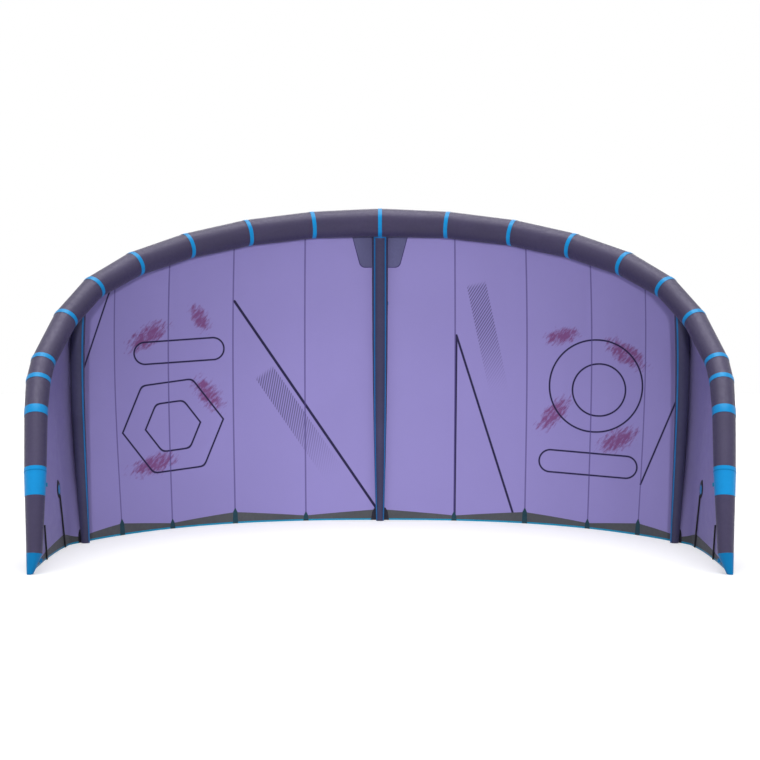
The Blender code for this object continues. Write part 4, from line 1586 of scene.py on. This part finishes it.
    def tab(self, name: str, share: float, sink: float, material: Material) -> None:
        """Make a folded webbing tab that stands out of the tube's rear.

        Args:
            name: Tab's name.
            share: Its place along the tube.
            sink: How deep its ends lie under the band.
            material: Its webbing.
        """
        along = self.line.along(share)
        out = self.line.spoke(share, self.tab_quarters)
        flat = out.cross(along)
        foot = self.line.centre(share) + out * (self.line.reach_toward(share, out) - sink)
        width, thickness, length = self.tab_size
        work = bmesh.new()
        bmesh.ops.create_cube(work, size=1, matrix=Matrix.Translation((0, 0, 0.5)))
        bmesh.ops.subdivide_edges(work, edges=work.edges, cuts=4, use_grid_fill=True)
        for vert in work.verts:
            x, y, z = vert.co
            loop = math.sin(math.pi * z) * self.tab_pinch + (1 - self.tab_pinch)
            vert.co = Vector((x * width, y * thickness * loop, z * length))
        bmesh.ops.bevel(
            work, geom=[edge for edge in work.edges if edge.calc_face_angle(0) > 1],
            offset=self.tab_round, offset_type="OFFSET", segments=2, profile=0.5, affect="EDGES",
            material=-1,
        )
        bmesh.ops.transform(work, matrix=placed(along, flat, out, foot), verts=work.verts)
        dress(finished_object(name, work), material)


class Face(Enum):
    """A face of the canopy's cloth."""

    INNER = "inner"
    OUTER = "outer"


class Batten(Enum):
    """A tip batten, as its rib's share of the leading edge and its top's share of the chord."""

    LONG = (LONG_BATTEN_SHARE, 0.60)
    SHORT = (SHORT_BATTEN_SHARE, 0.62)


@dataclass(frozen=True)
class Flap:
    """A flat piece at a batten's top: its stretch in pocket lengths, its breadth and depths."""

    start: float
    end: float
    half_widths: tuple[float, ...]
    low: float
    high: float


@dataclass(frozen=True)
class LoadPatch:
    """A small patch on the hem that narrows toward its top, which is a share of its foot."""

    breadth: float
    height: float
    point: float


@dataclass
class Canopy:
    """The cloth with everything sewn flat on it."""

    surface: CanopySurface
    finishes: Finishes
    columns: int = 330
    rows: int = 74
    row_power: float = 1.35
    flat_size: tuple[float, float] = (5.9, 2.05)
    layer: float = 0.0006
    cloth_gap: float = 0.0003
    seam_sink: float = 0.0026
    seam_fold: float = 0.0012
    hem_height: float = 0.010
    band_height: float = 0.068
    band_shares: tuple[float, ...] = (1.0, 0.48, 1.03, 0.48, 1.0, 0.47, 1.1, 0.62, 0.18)
    patch_top: float = 0.030
    patch_foot: float = 0.135
    patch_top_half: float = 0.173
    patch_foot_half: float = 0.1185
    patch_corner: float = 0.028
    edging_width: float = 0.004
    patch_point: float = 0.024
    seam_patch: LoadPatch = LoadPatch(0.034, 0.0, 0.15)
    side_patch: LoadPatch = LoadPatch(0.070, 0.074, 0.5)
    middle_foot_patch: LoadPatch = LoadPatch(0.118, 0.078, 0.6)
    edging_radius: float = 0.0035
    batten_radius: float = 0.0042
    pocket_length: float = 0.100
    pocket_rise: float = 0.15
    pocket: Flap = Flap(0, 1, (0.003, 0.020, 0.028, 0.028, 0.020, 0.006), 0, 0.0036)
    pull: Flap = Flap(0.29, 0.76, (0.011, 0.017, 0.018, 0.017, 0.011), 0.0036, 0.0046)
    last_chord_share: float = 0.999

    def build(self) -> None:
        """Make and dress every piece of the canopy."""
        cloth = self.cloth()
        on_it = [self.trailing_band(), self.middle_patch(), self.patch_edging()]
        on_it += [self.hem(face) for face in Face]
        on_it += self.load_patches()
        for side in Side:
            for batten in Batten:
                on_it += self.batten(batten, side)
            on_it.append(self.tip_edging(side))

    @staticmethod
    def edge_share(column: float) -> float:
        """Give the share along the leading edge for a column from tip to tip."""
        return (2 * column - 1) * TIP_SHARE

    def chord_share(self, row: float) -> float:
        """Give the cloth's chord share for a row: the first two rows lie at the leading edge."""
        return max((row * self.rows - 1) / (self.rows - 1), 0) ** self.row_power

    def map_spot(self, share: float, v: float) -> tuple[float, float]:
        """Give the place in metres on the laid out cloth."""
        return share * self.surface.line.half_length, v * self.surface.chord_length(share)

    def cloth_point(self, column: float, row: float, face: float) -> Vector:
        """Give a point of the cloth, whose first row is folded onto the tube.

        Args:
            column: Column, from 0 to 1.
            row: Row, from 0 to 1.
            face: 0 on the hollow side and 1 on the outer side.

        Returns:
            The point.
        """
        share = self.edge_share(column)
        depth = self.surface.front + face * self.surface.thickness
        point = self.surface.point(share, self.chord_share(row), depth)
        if row == 0:
            chord = self.surface.rib(share).chord.normalized()
            point -= self.seam_sink * self.surface.spoke(share) + self.seam_fold * chord
        return point

    def cloth(self) -> Piece:
        """Make the canopy's one sheet.

        Returns:
            The new object.
        """

        def map_place(column: float, row: float) -> tuple[float, float]:
            """Give the place on the laid out cloth."""
            return self.map_spot(self.edge_share(column), self.chord_share(row))

        name = "canopy_sheet"
        piece = Slab(name, self.columns, self.rows, self.cloth_point, map_place).build()
        nodes = ["canopy_middle"]
        nodes += [f"canopy_{side.word}_{number}" for side in Side for number in range(1, 5)]
        return dress(piece, self.finishes.canopy, nodes)

    def strip(
        self, name: str, columns: int, rows: int, spot: Spot, depth: float, thickness: float
    ) -> Piece:
        """Lay a flat piece on the canopy.

        Args:
            name: Its name.
            columns: Its grid's columns.
            rows: Its grid's rows.
            spot: Gives the share along the edge and the chord share for a column and row.
            depth: Depth of its first side.
            thickness: How much deeper its second side lies.

        Returns:
            The new object.
        """

        def place(column: float, row: float, face: float) -> Vector:
            """Give a point of the piece."""
            return self.surface.point(*spot(column, row), depth + face * thickness)

        def map_place(column: float, row: float) -> tuple[float, float]:
            """Give the place on the laid out cloth."""
            return self.map_spot(*spot(column, row))

        return Slab(name, columns, rows, place, map_place).build()

    def foot_strip(
        self, name: str, columns: int, rows: int, height: Reading, depth: float
    ) -> Piece:
        """Lay a strip of cloth along the whole trailing edge.

        Args:
            name: Its name.
            columns: Its grid's columns.
            rows: Its grid's rows.
            height: Gives its height for a share along the edge.
            depth: Depth of its side toward the rider.

        Returns:
            The new object.
        """

        def spot(column: float, row: float) -> tuple[float, float]:
            """Give the place of a column and row, which is 0 at the upper edge."""
            top = 1 - height(share := self.edge_share(column)) / self.surface.chord_length(share)
            return share, top + (1 - top) * row

        return self.strip(name, columns, rows, spot, depth, self.layer)

    def inner_depth(self, layers: int) -> float:
        """Give the depth of the side toward the rider of the outermost of some sewn layers."""
        return self.surface.front - layers * (self.cloth_gap + self.layer)

    def band_top(self, share: float) -> float:
        """Give the trailing edge band's height at a share."""
        return self.band_height * ramp(abs(share), [row.edge for row in RIBS], self.band_shares)

    def trailing_band(self) -> Piece:
        """Make the grey band along the trailing edge, with its zigzag upper edge."""
        piece = self.foot_strip("trailing_band_cloth", 400, 3, self.band_top, self.inner_depth(1))
        return dress(piece, self.finishes.grey, ["trailing_edge_band"])

    def hem(self, face: Face) -> Piece:
        """Make the hem tape on one face of the trailing edge."""
        outside = self.surface.back + self.cloth_gap
        depth = self.inner_depth(2) if face is Face.INNER else outside
        name = f"hem_tape_{face.value}"
        piece = self.foot_strip(name, 330, 2, lambda share: self.hem_height, depth)
        return dress(piece, self.finishes.hem)

    def middle_patch(self) -> Piece:
        """Make the patch behind the middle strut, with its lower corners rounded."""
        piece = self.window("middle_patch_cloth", 0.0, self.inner_depth(1), self.layer)
        return dress(piece, self.finishes.window, ["middle_patch"])

    def patch_edging(self) -> Piece:
        """Make the darker edging that shows round the patch."""
        depth = self.surface.front - self.cloth_gap
        piece = self.window("middle_patch_edging", self.edging_width, depth, -self.layer * 0.4)
        return dress(piece, self.finishes.edging)

    def window(self, name: str, margin: float, depth: float, thickness: float) -> Piece:
        """Lay a trapezoid with rounded lower corners under the middle of the tube.

        Args:
            name: Its name.
            margin: How far it reaches past the patch.
            depth: Depth of its first side.
            thickness: How much deeper its second side lies.

        Returns:
            The new object.
        """
        chord = self.surface.chord_length(0)
        top, foot, corner = self.patch_top, self.patch_foot + margin / chord, self.patch_corner
        widening = self.patch_top_half - self.patch_foot_half

        def spot(column: float, row: float) -> tuple[float, float]:
            """Give the place of a column and row, which is 0 at the upper edge."""
            v = top + (foot - top) * (1 - (1 - row) ** 1.6)
            left = (foot - v) * chord
            half = self.patch_foot_half + margin + widening * left / ((foot - top) * chord)
            if left < corner:
                half -= corner - math.sqrt(max(corner**2 - (corner - left) ** 2, 0))
            return (2 * column - 1) * half / self.surface.line.half_length, v

        return self.strip(name, 24, 20, spot, depth, thickness)

    def spread(self, share: float, v: float, column: float, half: float) -> tuple[float, float]:
        """Give a column's place on a flat piece that reaches half its breadth to each side."""
        return self.surface.beside(share, v, (2 * column - 1) * half), v

    def load_patches(self) -> list[Piece]:
        """Make the small dark patches where the seams and struts meet the trailing edge.

        Returns:
            The new objects.
        """
        pieces = []
        load, foot = self.finishes.load, self.finishes.foot
        for side in Side:
            for number, edge in enumerate(SEAM_SHARES, 1):
                patch = replace(self.seam_patch, height=self.band_top(edge) + self.patch_point)
                name = f"load_patch_{side.word}_{number}"
                pieces.append(self.load_patch(name, side.value * edge, patch, load))
            name, share = f"load_patch_strut_{side.word}", side.value * SIDE_STRUT_SHARE
            pieces.append(self.load_patch(name, share, self.side_patch, foot))
        name = "load_patch_strut_middle"
        pieces.append(self.load_patch(name, 0.0, self.middle_foot_patch, foot))
        return pieces

    def load_patch(self, name: str, share: float, patch: LoadPatch, material: Material) -> Piece:
        """Make one load patch, standing on the hem.

        Args:
            name: Its name.
            share: Its place along the leading edge.
            patch: Its form.
            material: Its material.

        Returns:
            The new object.
        """
        chord = self.surface.chord_length(share)
        neck = 1 - self.patch_point / patch.height
        places, shares = (0, neck, 1), (1, 0.85 if neck > 0.4 else 0.9, patch.point)

        def spot(column: float, row: float) -> tuple[float, float]:
            """Give the place of a column and row, which is 0 at the upper edge."""
            v = 1 - patch.height * (1 - row) / chord
            return self.spread(share, v, column, patch.breadth / 2 * ramp(1 - row, places, shares))

        piece = self.strip(name, 6, 8, spot, self.inner_depth(3), self.layer)
        return dress(piece, material)

    def flap(self, name: str, share: float, top: float, form: Flap) -> Piece:
        """Lay a flat piece over a batten's top.

        Args:
            name: Its name.
            share: Its place along the leading edge.
            top: Chord share of the batten's top.
            form: Its form.

        Returns:
            The new object.
        """
        length = self.pocket_length / self.surface.chord_length(share)
        begin = top - self.pocket_rise * length
        knots = spaced(0, 1, len(form.half_widths) - 1)

        def spot(column: float, row: float) -> tuple[float, float]:
            """Give the place of a column and row, which is 0 at the upper edge."""
            v = begin + (form.start + (form.end - form.start) * row) * length
            return self.spread(share, v, column, ramp(row, knots, form.half_widths))

        depth = self.surface.front - self.cloth_gap - form.high
        return self.strip(name, 12, 20, spot, depth, form.high - form.low)

    def batten(self, batten: Batten, side: Side) -> list[Piece]:
        """Make a batten's sleeve with, on the long one, its pointed pocket and blue pull.

        Args:
            batten: Batten.
            side: Side of the kite.

        Returns:
            Its pieces.
        """
        edge, top = batten.value
        share, end = side.value * edge, self.last_chord_share
        node = f"batten_{batten.name.lower()}_{side.word}"
        radius = self.batten_radius
        thin = 4 if batten is Batten.LONG else 0
        radii = [radius / 4] * thin + [radius] * (21 - thin)
        places = spaced(top, end, 60)
        girths = [ramp((v - top) / (end - top), spaced(0, 1, 20), radii) for v in places]
        skin = self.surface.front - self.cloth_gap - 0.001
        points = [self.surface.point(share, v, skin - r) for v, r in zip(places, girths)]
        hoops = cord_hoops(points, girths)
        sleeve = Loft(f"{node}_sleeve", hoops, 20, FULL_TURN * radius).build()
        pieces = [dress(sleeve, self.finishes.black, [node])]
        if batten is Batten.LONG:
            pad = self.flap(f"{node}_pocket", share, top, self.pocket)
            pieces.append(dress(pad, self.finishes.black))
            pull = self.flap(f"{node}_pull", share, top, self.pull)
            pieces.append(dress(pull, self.finishes.blue))
        return pieces

    def tip_edging(self, side: Side) -> Piece:
        """Make the pale edging down the cloth's free edge at a tip."""
        share, radius = side.value * TIP_SHARE, self.edging_radius
        points = [self.surface.point(share, v) for v in spaced(0.02, self.last_chord_share, 30)]
        hoops = cord_hoops(points, [radius] * len(points))
        piece = Loft(f"tip_edging_{side.word}", hoops, 12, FULL_TURN * radius).build()
        return dress(piece, self.finishes.pale)


@dataclass
class StrutLine:
    """A strut's middle line along one rib of the canopy."""

    surface: CanopySurface
    share: float
    top_diameter: float
    foot_diameter: float
    face: float = -0.0022
    taper_power: float = 2.5
    run_step: float = 0.02
    level_from: float = 0.95

    def radius(self, v: float) -> float:
        """Give the strut's radius at a share of the chord."""
        part = min(max(v, 0), 1) ** self.taper_power
        return ((1 - part) * self.top_diameter + part * self.foot_diameter) / 2

    def centre(self, v: float) -> Vector:
        """Give the middle line's point."""
        return self.surface.point(self.share, v, self.face - self.radius(v))

    def hoop(self, v: float, depth: float = 0.0) -> Matrix:
        """Place a unit circle as the strut's section, X toward the canopy and Y across.

        Args:
            v: Share of the chord.
            depth: How far outside the casing's surface the section lies.

        Returns:
            The placement.
        """
        back = self.surface.normal(self.share, v)
        low, high = max(v - self.run_step, 0), min(v + self.run_step, 1)
        across = (self.centre(high) - self.centre(low)).cross(back)
        across.z *= ramp(v, (self.level_from, 1), (1, 0))
        across.normalize()
        radius = self.radius(v) + depth
        return placed(back * radius, across * radius, back.cross(across), self.centre(v))

    def on_skin(self, v: float, turn_degrees: float, depth: float = 0.0) -> Vector:
        """Give a point of the casing, turned from straight ahead toward the kite's right."""
        hoop = self.hoop(v, depth)
        turn = math.radians(turn_degrees)
        ahead = Vector((math.sin(turn), -math.cos(turn), 0))
        angle = math.atan2(ahead.dot(hoop.col[1].xyz), ahead.dot(hoop.col[0].xyz))
        return hoop @ Vector((math.cos(angle), math.sin(angle), 0))


@dataclass
class Strut:
    """An air strut with its bladder and its blue piping."""

    name: str
    line: StrutLine
    finishes: Finishes
    piping_degrees: Sequence[Reading]
    joins_top: bool = False
    sides: int = 48
    top: float = 0.012
    piping_width: float = 0.0115
    piping_thickness: float = 0.0030
    piping_run: tuple[float, float] = (0.0260, 0.999)
    bladder_gap: float = 0.0048
    bladder_run: tuple[float, float] = (0.20, 0.97)

    def build(self) -> None:
        """Make and dress the strut's pieces."""
        finishes = self.finishes
        places = [self.top + (1 - self.top) * part for part in spaced(0, 1, 60)]
        skin = self.tube(f"strut_skin_{self.name}", places, 0.0)
        dress_padded(skin, finishes.strut, f"strut_casing_{self.name}")
        places = spaced(*self.bladder_run, 40)
        film = self.tube(f"strut_film_{self.name}", places, -self.bladder_gap)
        dress_padded(film, finishes.film, f"strut_bladder_{self.name}")
        for number, reading in enumerate(self.piping_degrees, 1):
            spots = [(v, reading(v)) for v in spaced(*self.piping_run, 90)]
            self.trim(f"strut_piping_{self.name}_{number}", spots)
        if self.joins_top:
            top = self.piping_run[0]
            low, high = sorted(reading(top) for reading in self.piping_degrees)
            spots = [(top, turn) for turn in spaced(low, high, 24)]
            self.trim(f"strut_piping_{self.name}_top", spots)

    def tube(self, name: str, places: Sequence[float], depth: float) -> Piece:
        """Draw a closed tube along the strut."""
        hoops = [self.line.hoop(v, depth) for v in places]
        return Loft(name, hoops, self.sides, FULL_TURN * self.line.radius(0.5)).build()

    def trim(self, name: str, spots: Sequence[tuple[float, float]]) -> None:
        """Sew a line of flat piping over the casing.

        Args:
            name: Its name.
            spots: Chord share and the turn of each point along it.
        """
        points = [self.line.on_skin(v, turn, self.piping_thickness / 4) for v, turn in spots]
        hoops = []
        last = len(points) - 1
        for i, ((v, _), point) in enumerate(zip(spots, points)):
            run = (points[min(i + 1, last)] - points[max(i - 1, 0)]).normalized()
            out = point - self.line.centre(v)
            out = (out - out.dot(run) * run).normalized()
            height, breadth = self.piping_thickness / 2, self.piping_width / 2
            hoops.append(placed(out * height, run.cross(out) * breadth, run, point))
        piece = Loft(name, hoops, 12, self.piping_width).build()
        dress(piece, self.finishes.piping)


def on_axis(node: Piece, axis: Vector, run: Vector, height: float) -> Matrix:
    """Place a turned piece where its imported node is, with Z out of the cloth from its surface."""
    points = [vertex.co for vertex in node.data.vertices]
    middle = sum(points, Vector()) / len(points)
    top = max(point.dot(axis) for point in points)
    along = (run - run.dot(axis) * axis).normalized()
    return placed(along, axis.cross(along), axis, middle + (top - height - middle.dot(axis)) * axis)


@dataclass
class EdgeValve:
    """The leading edge's valve: a seat, a screw collar with finger grooves and a push-in plug."""

    placement: Matrix
    finishes: Finishes
    seat: tuple[tuple[float, float], ...] = (
        (0.0150, 0.0120), (0.0190, 0.0120), (0.0199, 0.0112), (0.0199, 0.0102),
        (0.0192, 0.0096), (0.0199, 0.0090), (0.0199, 0.0080), (0.0192, 0.0074),
        (0.0199, 0.0068), (0.0199, 0.0034), (0.0255, 0.0034), (0.0274, 0.0026),
        (0.0290, 0.0010), (0.0290, 0.0001), (0.0199, 0.0001), (0.0199, -0.0060),
        (0.0150, -0.0060),
    )
    collar: tuple[tuple[float, float], ...] = (
        (0.0130, 0.0147), (0.0138, 0.0153), (0.0188, 0.0153), (0.0196, 0.0146),
        (0.0212, 0.0146), (0.0220, 0.0153), (0.0256, 0.0153), (0.0267, 0.0146),
        (0.0270, 0.0136), (0.0270, 0.0048), (0.0264, 0.0037), (0.0203, 0.0037),
        (0.0203, 0.0123), (0.0130, 0.0123),
    )
    plug: tuple[tuple[float, float], ...] = (
        (0.0000, 0.0166), (0.0104, 0.0166), (0.0116, 0.0186), (0.0164, 0.0186),
        (0.0176, 0.0180), (0.0180, 0.0170), (0.0180, 0.0160), (0.0174, 0.0156),
        (0.0127, 0.0156), (0.0127, 0.0138), (0.0120, 0.0133), (0.0120, 0.0123),
        (0.0127, 0.0118), (0.0127, 0.0088), (0.0117, 0.0076), (0.0000, 0.0076),
    )
    collar_steps: int = 160
    grips: Grips = Grips(10, 0.0240, 0.0014, 0.0056)
    plug_bar: GripBar = GripBar(0.0224, 0.0040, 0.0160, 0.0196)

    def build(self) -> None:
        """Make and dress the valve's pieces."""
        where, moulded = self.placement, self.finishes.moulded
        seat = Turned("edge_valve_seat_ring", self.seat, where).build()
        dress(seat, moulded, ["valve_seat"])
        name = "edge_valve_collar_ring"
        collar = Turned(name, self.collar, where, self.collar_steps, grips=self.grips).build()
        dress(collar, moulded, ["valve_collar"], "edge_valve_collar")
        plug = Turned("edge_valve_plug_cap", self.plug, where, bar=self.plug_bar).build()
        dress(plug, self.finishes.plug, ["valve_plug"], "edge_valve_plug")


@dataclass
class StrutValve:
    """A strut's valve: a seat and a push-in plug."""

    name: str
    placement: Matrix
    finishes: Finishes
    seat: tuple[tuple[float, float], ...] = (
        (0.0050, 0.0013), (0.0056, 0.0018), (0.0112, 0.0018), (0.0126, 0.0013),
        (0.0134, 0.0002), (0.0134, -0.0012), (0.0080, -0.0012), (0.0080, -0.0050),
        (0.0050, -0.0050),
    )
    plug: tuple[tuple[float, float], ...] = (
        (0.0000, 0.0031), (0.0050, 0.0031), (0.0058, 0.0041), (0.0081, 0.0041),
        (0.0089, 0.0036), (0.0090, 0.0030), (0.0090, 0.0024), (0.0087, 0.0021),
        (0.0047, 0.0021), (0.0047, 0.0008), (0.0043, 0.0004), (0.0043, -0.0004),
        (0.0047, -0.0008), (0.0047, -0.0030), (0.0040, -0.0039), (0.0000, -0.0039),
    )
    plug_bar: GripBar = GripBar(0.0110, 0.0022, 0.0028, 0.0046)

    def build(self) -> None:
        """Make and dress the valve's pieces."""
        name, where = self.name, self.placement
        seat = Turned(f"strut_valve_{name}_ring", self.seat, where).build()
        dress(seat, self.finishes.moulded, [f"strut_valve_seat_{name}"])
        plug = Turned(f"strut_valve_{name}_cap", self.plug, where, bar=self.plug_bar).build()
        nodes, body = [f"strut_valve_plug_{name}"], f"{name}_strut_plug"
        dress(plug, self.finishes.plug, nodes, body)


@dataclass
class Studio:
    """The camera, floor and lights."""

    eye: Vector
    focal_px: float = 1000.0
    frame_px: float = 760.0
    sensor: float = 36.0
    clip: tuple[float, float] = (0.1, 200)
    ambient: float = 0.24
    front_level: float = 2.42
    front_spread: float = 32.0
    front_offset: tuple[float, float, float] = (0, -8, -0.35)
    front_aim: float = 6.0
    front_size: float = 1.0
    top_level: float = 2.50
    rear_level: float = 0.90
    floor_radius: float = 60.0
    floor_drop: float = 0.002
    floor_glow: float = 0.42
    floor_grey: tuple[float, float, float, float] = (0.65, 0.65, 0.65, 1)
    floor_roughness: float = 0.9
    white: tuple[float, float, float, float] = (1, 1, 1, 1)

    def build(self) -> None:
        """Set up the view."""
        self.camera()
        self.floor()
        self.world()
        place, aim = self.eye + Vector(self.front_offset), self.eye + REAR * self.front_aim
        self.softbox("front_light", place, aim)
        self.sun("top_light", Vector((0, 0.1, -1)), self.top_level, 50)
        self.sun("rear_light", Vector((0, -1, -0.4)), self.rear_level, 40)
        bpy.context.scene.view_settings.view_transform = "Standard"

    def camera(self) -> None:
        """Place the camera at the rider's eye."""
        data = bpy.data.cameras.new("photo_camera")
        data.sensor_width = self.sensor
        data.lens = self.sensor * self.focal_px / self.frame_px
        data.clip_start, data.clip_end = self.clip
        camera = linked("photo_camera", data)
        camera.location = self.eye
        camera.rotation_euler = (math.radians(90), 0, 0)
        bpy.context.scene.camera = camera

    def floor(self) -> None:
        """Lay a pale floor that is white to the eye and keeps the kite's soft shadow."""
        work = bmesh.new()
        bmesh.ops.create_circle(work, cap_ends=True, segments=96, radius=self.floor_radius)
        bmesh.ops.translate(work, verts=work.verts, vec=-UP * self.floor_drop)
        piece = finished_object("studio_floor", work)
        bench = NodeBench.for_material("studio_floor_finish")
        glow = bench.math("MULTIPLY", bench.seen_share(), self.floor_glow)
        bench.feed(bench.shader.inputs["Emission Strength"], glow)
        finish = bench.finish(self.floor_grey, self.floor_roughness, Emission_Color=self.white)
        piece.data.materials.append(finish)

    def world(self) -> None:
        """Light the kite evenly from all round, with a white backdrop to the eye."""
        world = bpy.data.worlds.new("studio_world")
        bench = NodeBench(world)
        background = bench.tree.nodes["Background"]
        background.inputs["Color"].default_value = self.white
        strength = bench.range(bench.seen_share(), 0, 1, self.ambient)
        bench.feed(background.inputs["Strength"], strength)
        bpy.context.scene.world = world

    def softbox(self, name: str, place: Vector, aim: Vector) -> None:
        """Hang a round soft light in front of the kite.

        Args:
            name: Lamp's name.
            place: Where it hangs.
            aim: Where it points, and where it gives the front level.
        """
        data = bpy.data.lights.new(name, "AREA")
        data.shape, data.size = "DISK", self.front_size
        data.spread = math.radians(self.front_spread)
        half = data.spread / 2
        gathered = math.tan(half) / (math.tan(half) - half)
        data.energy = self.front_level * math.pi * (aim - place).length ** 2 / gathered
        lamp = linked(name, data)
        lamp.location = place
        lamp.rotation_euler = (aim - place).to_track_quat("-Z", "Y").to_euler()
        lamp.visible_camera = lamp.visible_glossy = False

    @staticmethod
    def sun(name: str, toward: Vector, strength: float, spread_degrees: float) -> None:
        """Hang a soft light that shines in one direction, a spread broad seen from the kite."""
        data = bpy.data.lights.new(name, "SUN")
        data.energy, data.angle = strength, math.radians(spread_degrees)
        linked(name, data).rotation_euler = toward.to_track_quat("-Z", "Y").to_euler()


@dataclass
class Kite:
    """The whole kite: its lines and surface, and the sub-assemblies that follow them."""

    line: TubeLine
    eye: Vector
    middle_diameters: tuple[float, float] = (0.106, 0.051)
    side_diameters: tuple[float, float] = (0.079, 0.046)
    middle_turns: tuple[float, float] = (39, 55)
    side_knots: tuple[float, ...] = (0, 0.55, 0.8, 1)
    side_turns: tuple[float, ...] = (55, 63, 65, 74)
    edge_valve_place: tuple[float, float] = (0.060, 0.5)
    edge_seat_rise: float = 0.012
    strut_valve_run: tuple[float, float] = (0.24, 0.28)
    strut_seat_rise: float = 0.0018

    def strut_lines(self, surface: CanopySurface) -> dict[str, StrutLine]:
        """Lay out the lines of the three struts, by their names."""
        lines = {"middle": StrutLine(surface, 0.0, *self.middle_diameters)}
        for side in Side:
            share = side.value * SIDE_STRUT_SHARE
            lines[side.word] = StrutLine(surface, share, *self.side_diameters)
        return lines

    def middle_turn(self, v: float) -> float:
        """Give how far the middle strut's piping is turned from straight ahead."""
        return ramp(v, (0, 1), self.middle_turns)

    def side_turn(self, v: float) -> float:
        """Give how far a side strut's piping is turned toward the middle of the kite."""
        return ramp(v, self.side_knots, self.side_turns)

    def build(self, frame: dict) -> None:
        """Dress the kite.
        """
        surface = CanopySurface(self.line)
        seams = [share * self.line.half_length for share in SEAM_SHARES]
        finishes = Finishes(self.eye, seams)
        LeadingEdge(self.line, finishes).build()
        Canopy(surface, finishes).build()
        lines = self.strut_lines(surface)
        pipings = {
            "middle": (lambda v: -self.middle_turn(v), self.middle_turn),
            "left": (self.side_turn,),
            "right": (lambda v: -self.side_turn(v),),
        }
        for name, line in lines.items():
            Strut(name, line, finishes, pipings[name], joins_top=name == "middle").build()
        nodes = frame["nodes"]
        axes = {joint["child"]: Vector(joint["axis"]).normalized() for joint in frame["joints"]}
        run, axis = self.line.seat_run(*self.edge_valve_place), axes["edge_valve_collar"]
        place = on_axis(nodes["valve_seat"], axis, run, self.edge_seat_rise)
        EdgeValve(place, finishes).build()
        for name, line in lines.items():
            near, far = (line.centre(v) for v in self.strut_valve_run)
            seat, axis = nodes[f"strut_valve_seat_{name}"], axes[f"{name}_strut_plug"]
            place = on_axis(seat, axis, far - near, self.strut_seat_rise)
            StrutValve(name, place, finishes).build()


EYE_DISTANCE = 6.5
EYE_HEIGHT = 0.909


def main() -> None:
    """Dress the kite and set up its view."""
    logging.basicConfig(level=logging.INFO, format="%(message)s")
    for leftover in list(bpy.data.objects):
        bpy.data.objects.remove(leftover, do_unlink=True)
    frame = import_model()
    low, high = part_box("seam_tape_middle")
    line = TubeLine(centre_depth=(low.y + high.y) / 2)
    eye = Vector((0, line.centre_depth - EYE_DISTANCE, EYE_HEIGHT))
    Kite(line, eye).build(frame)
    Studio(eye).build()
    bpy.context.view_layer.update()


if __name__ == "__main__":
    main()
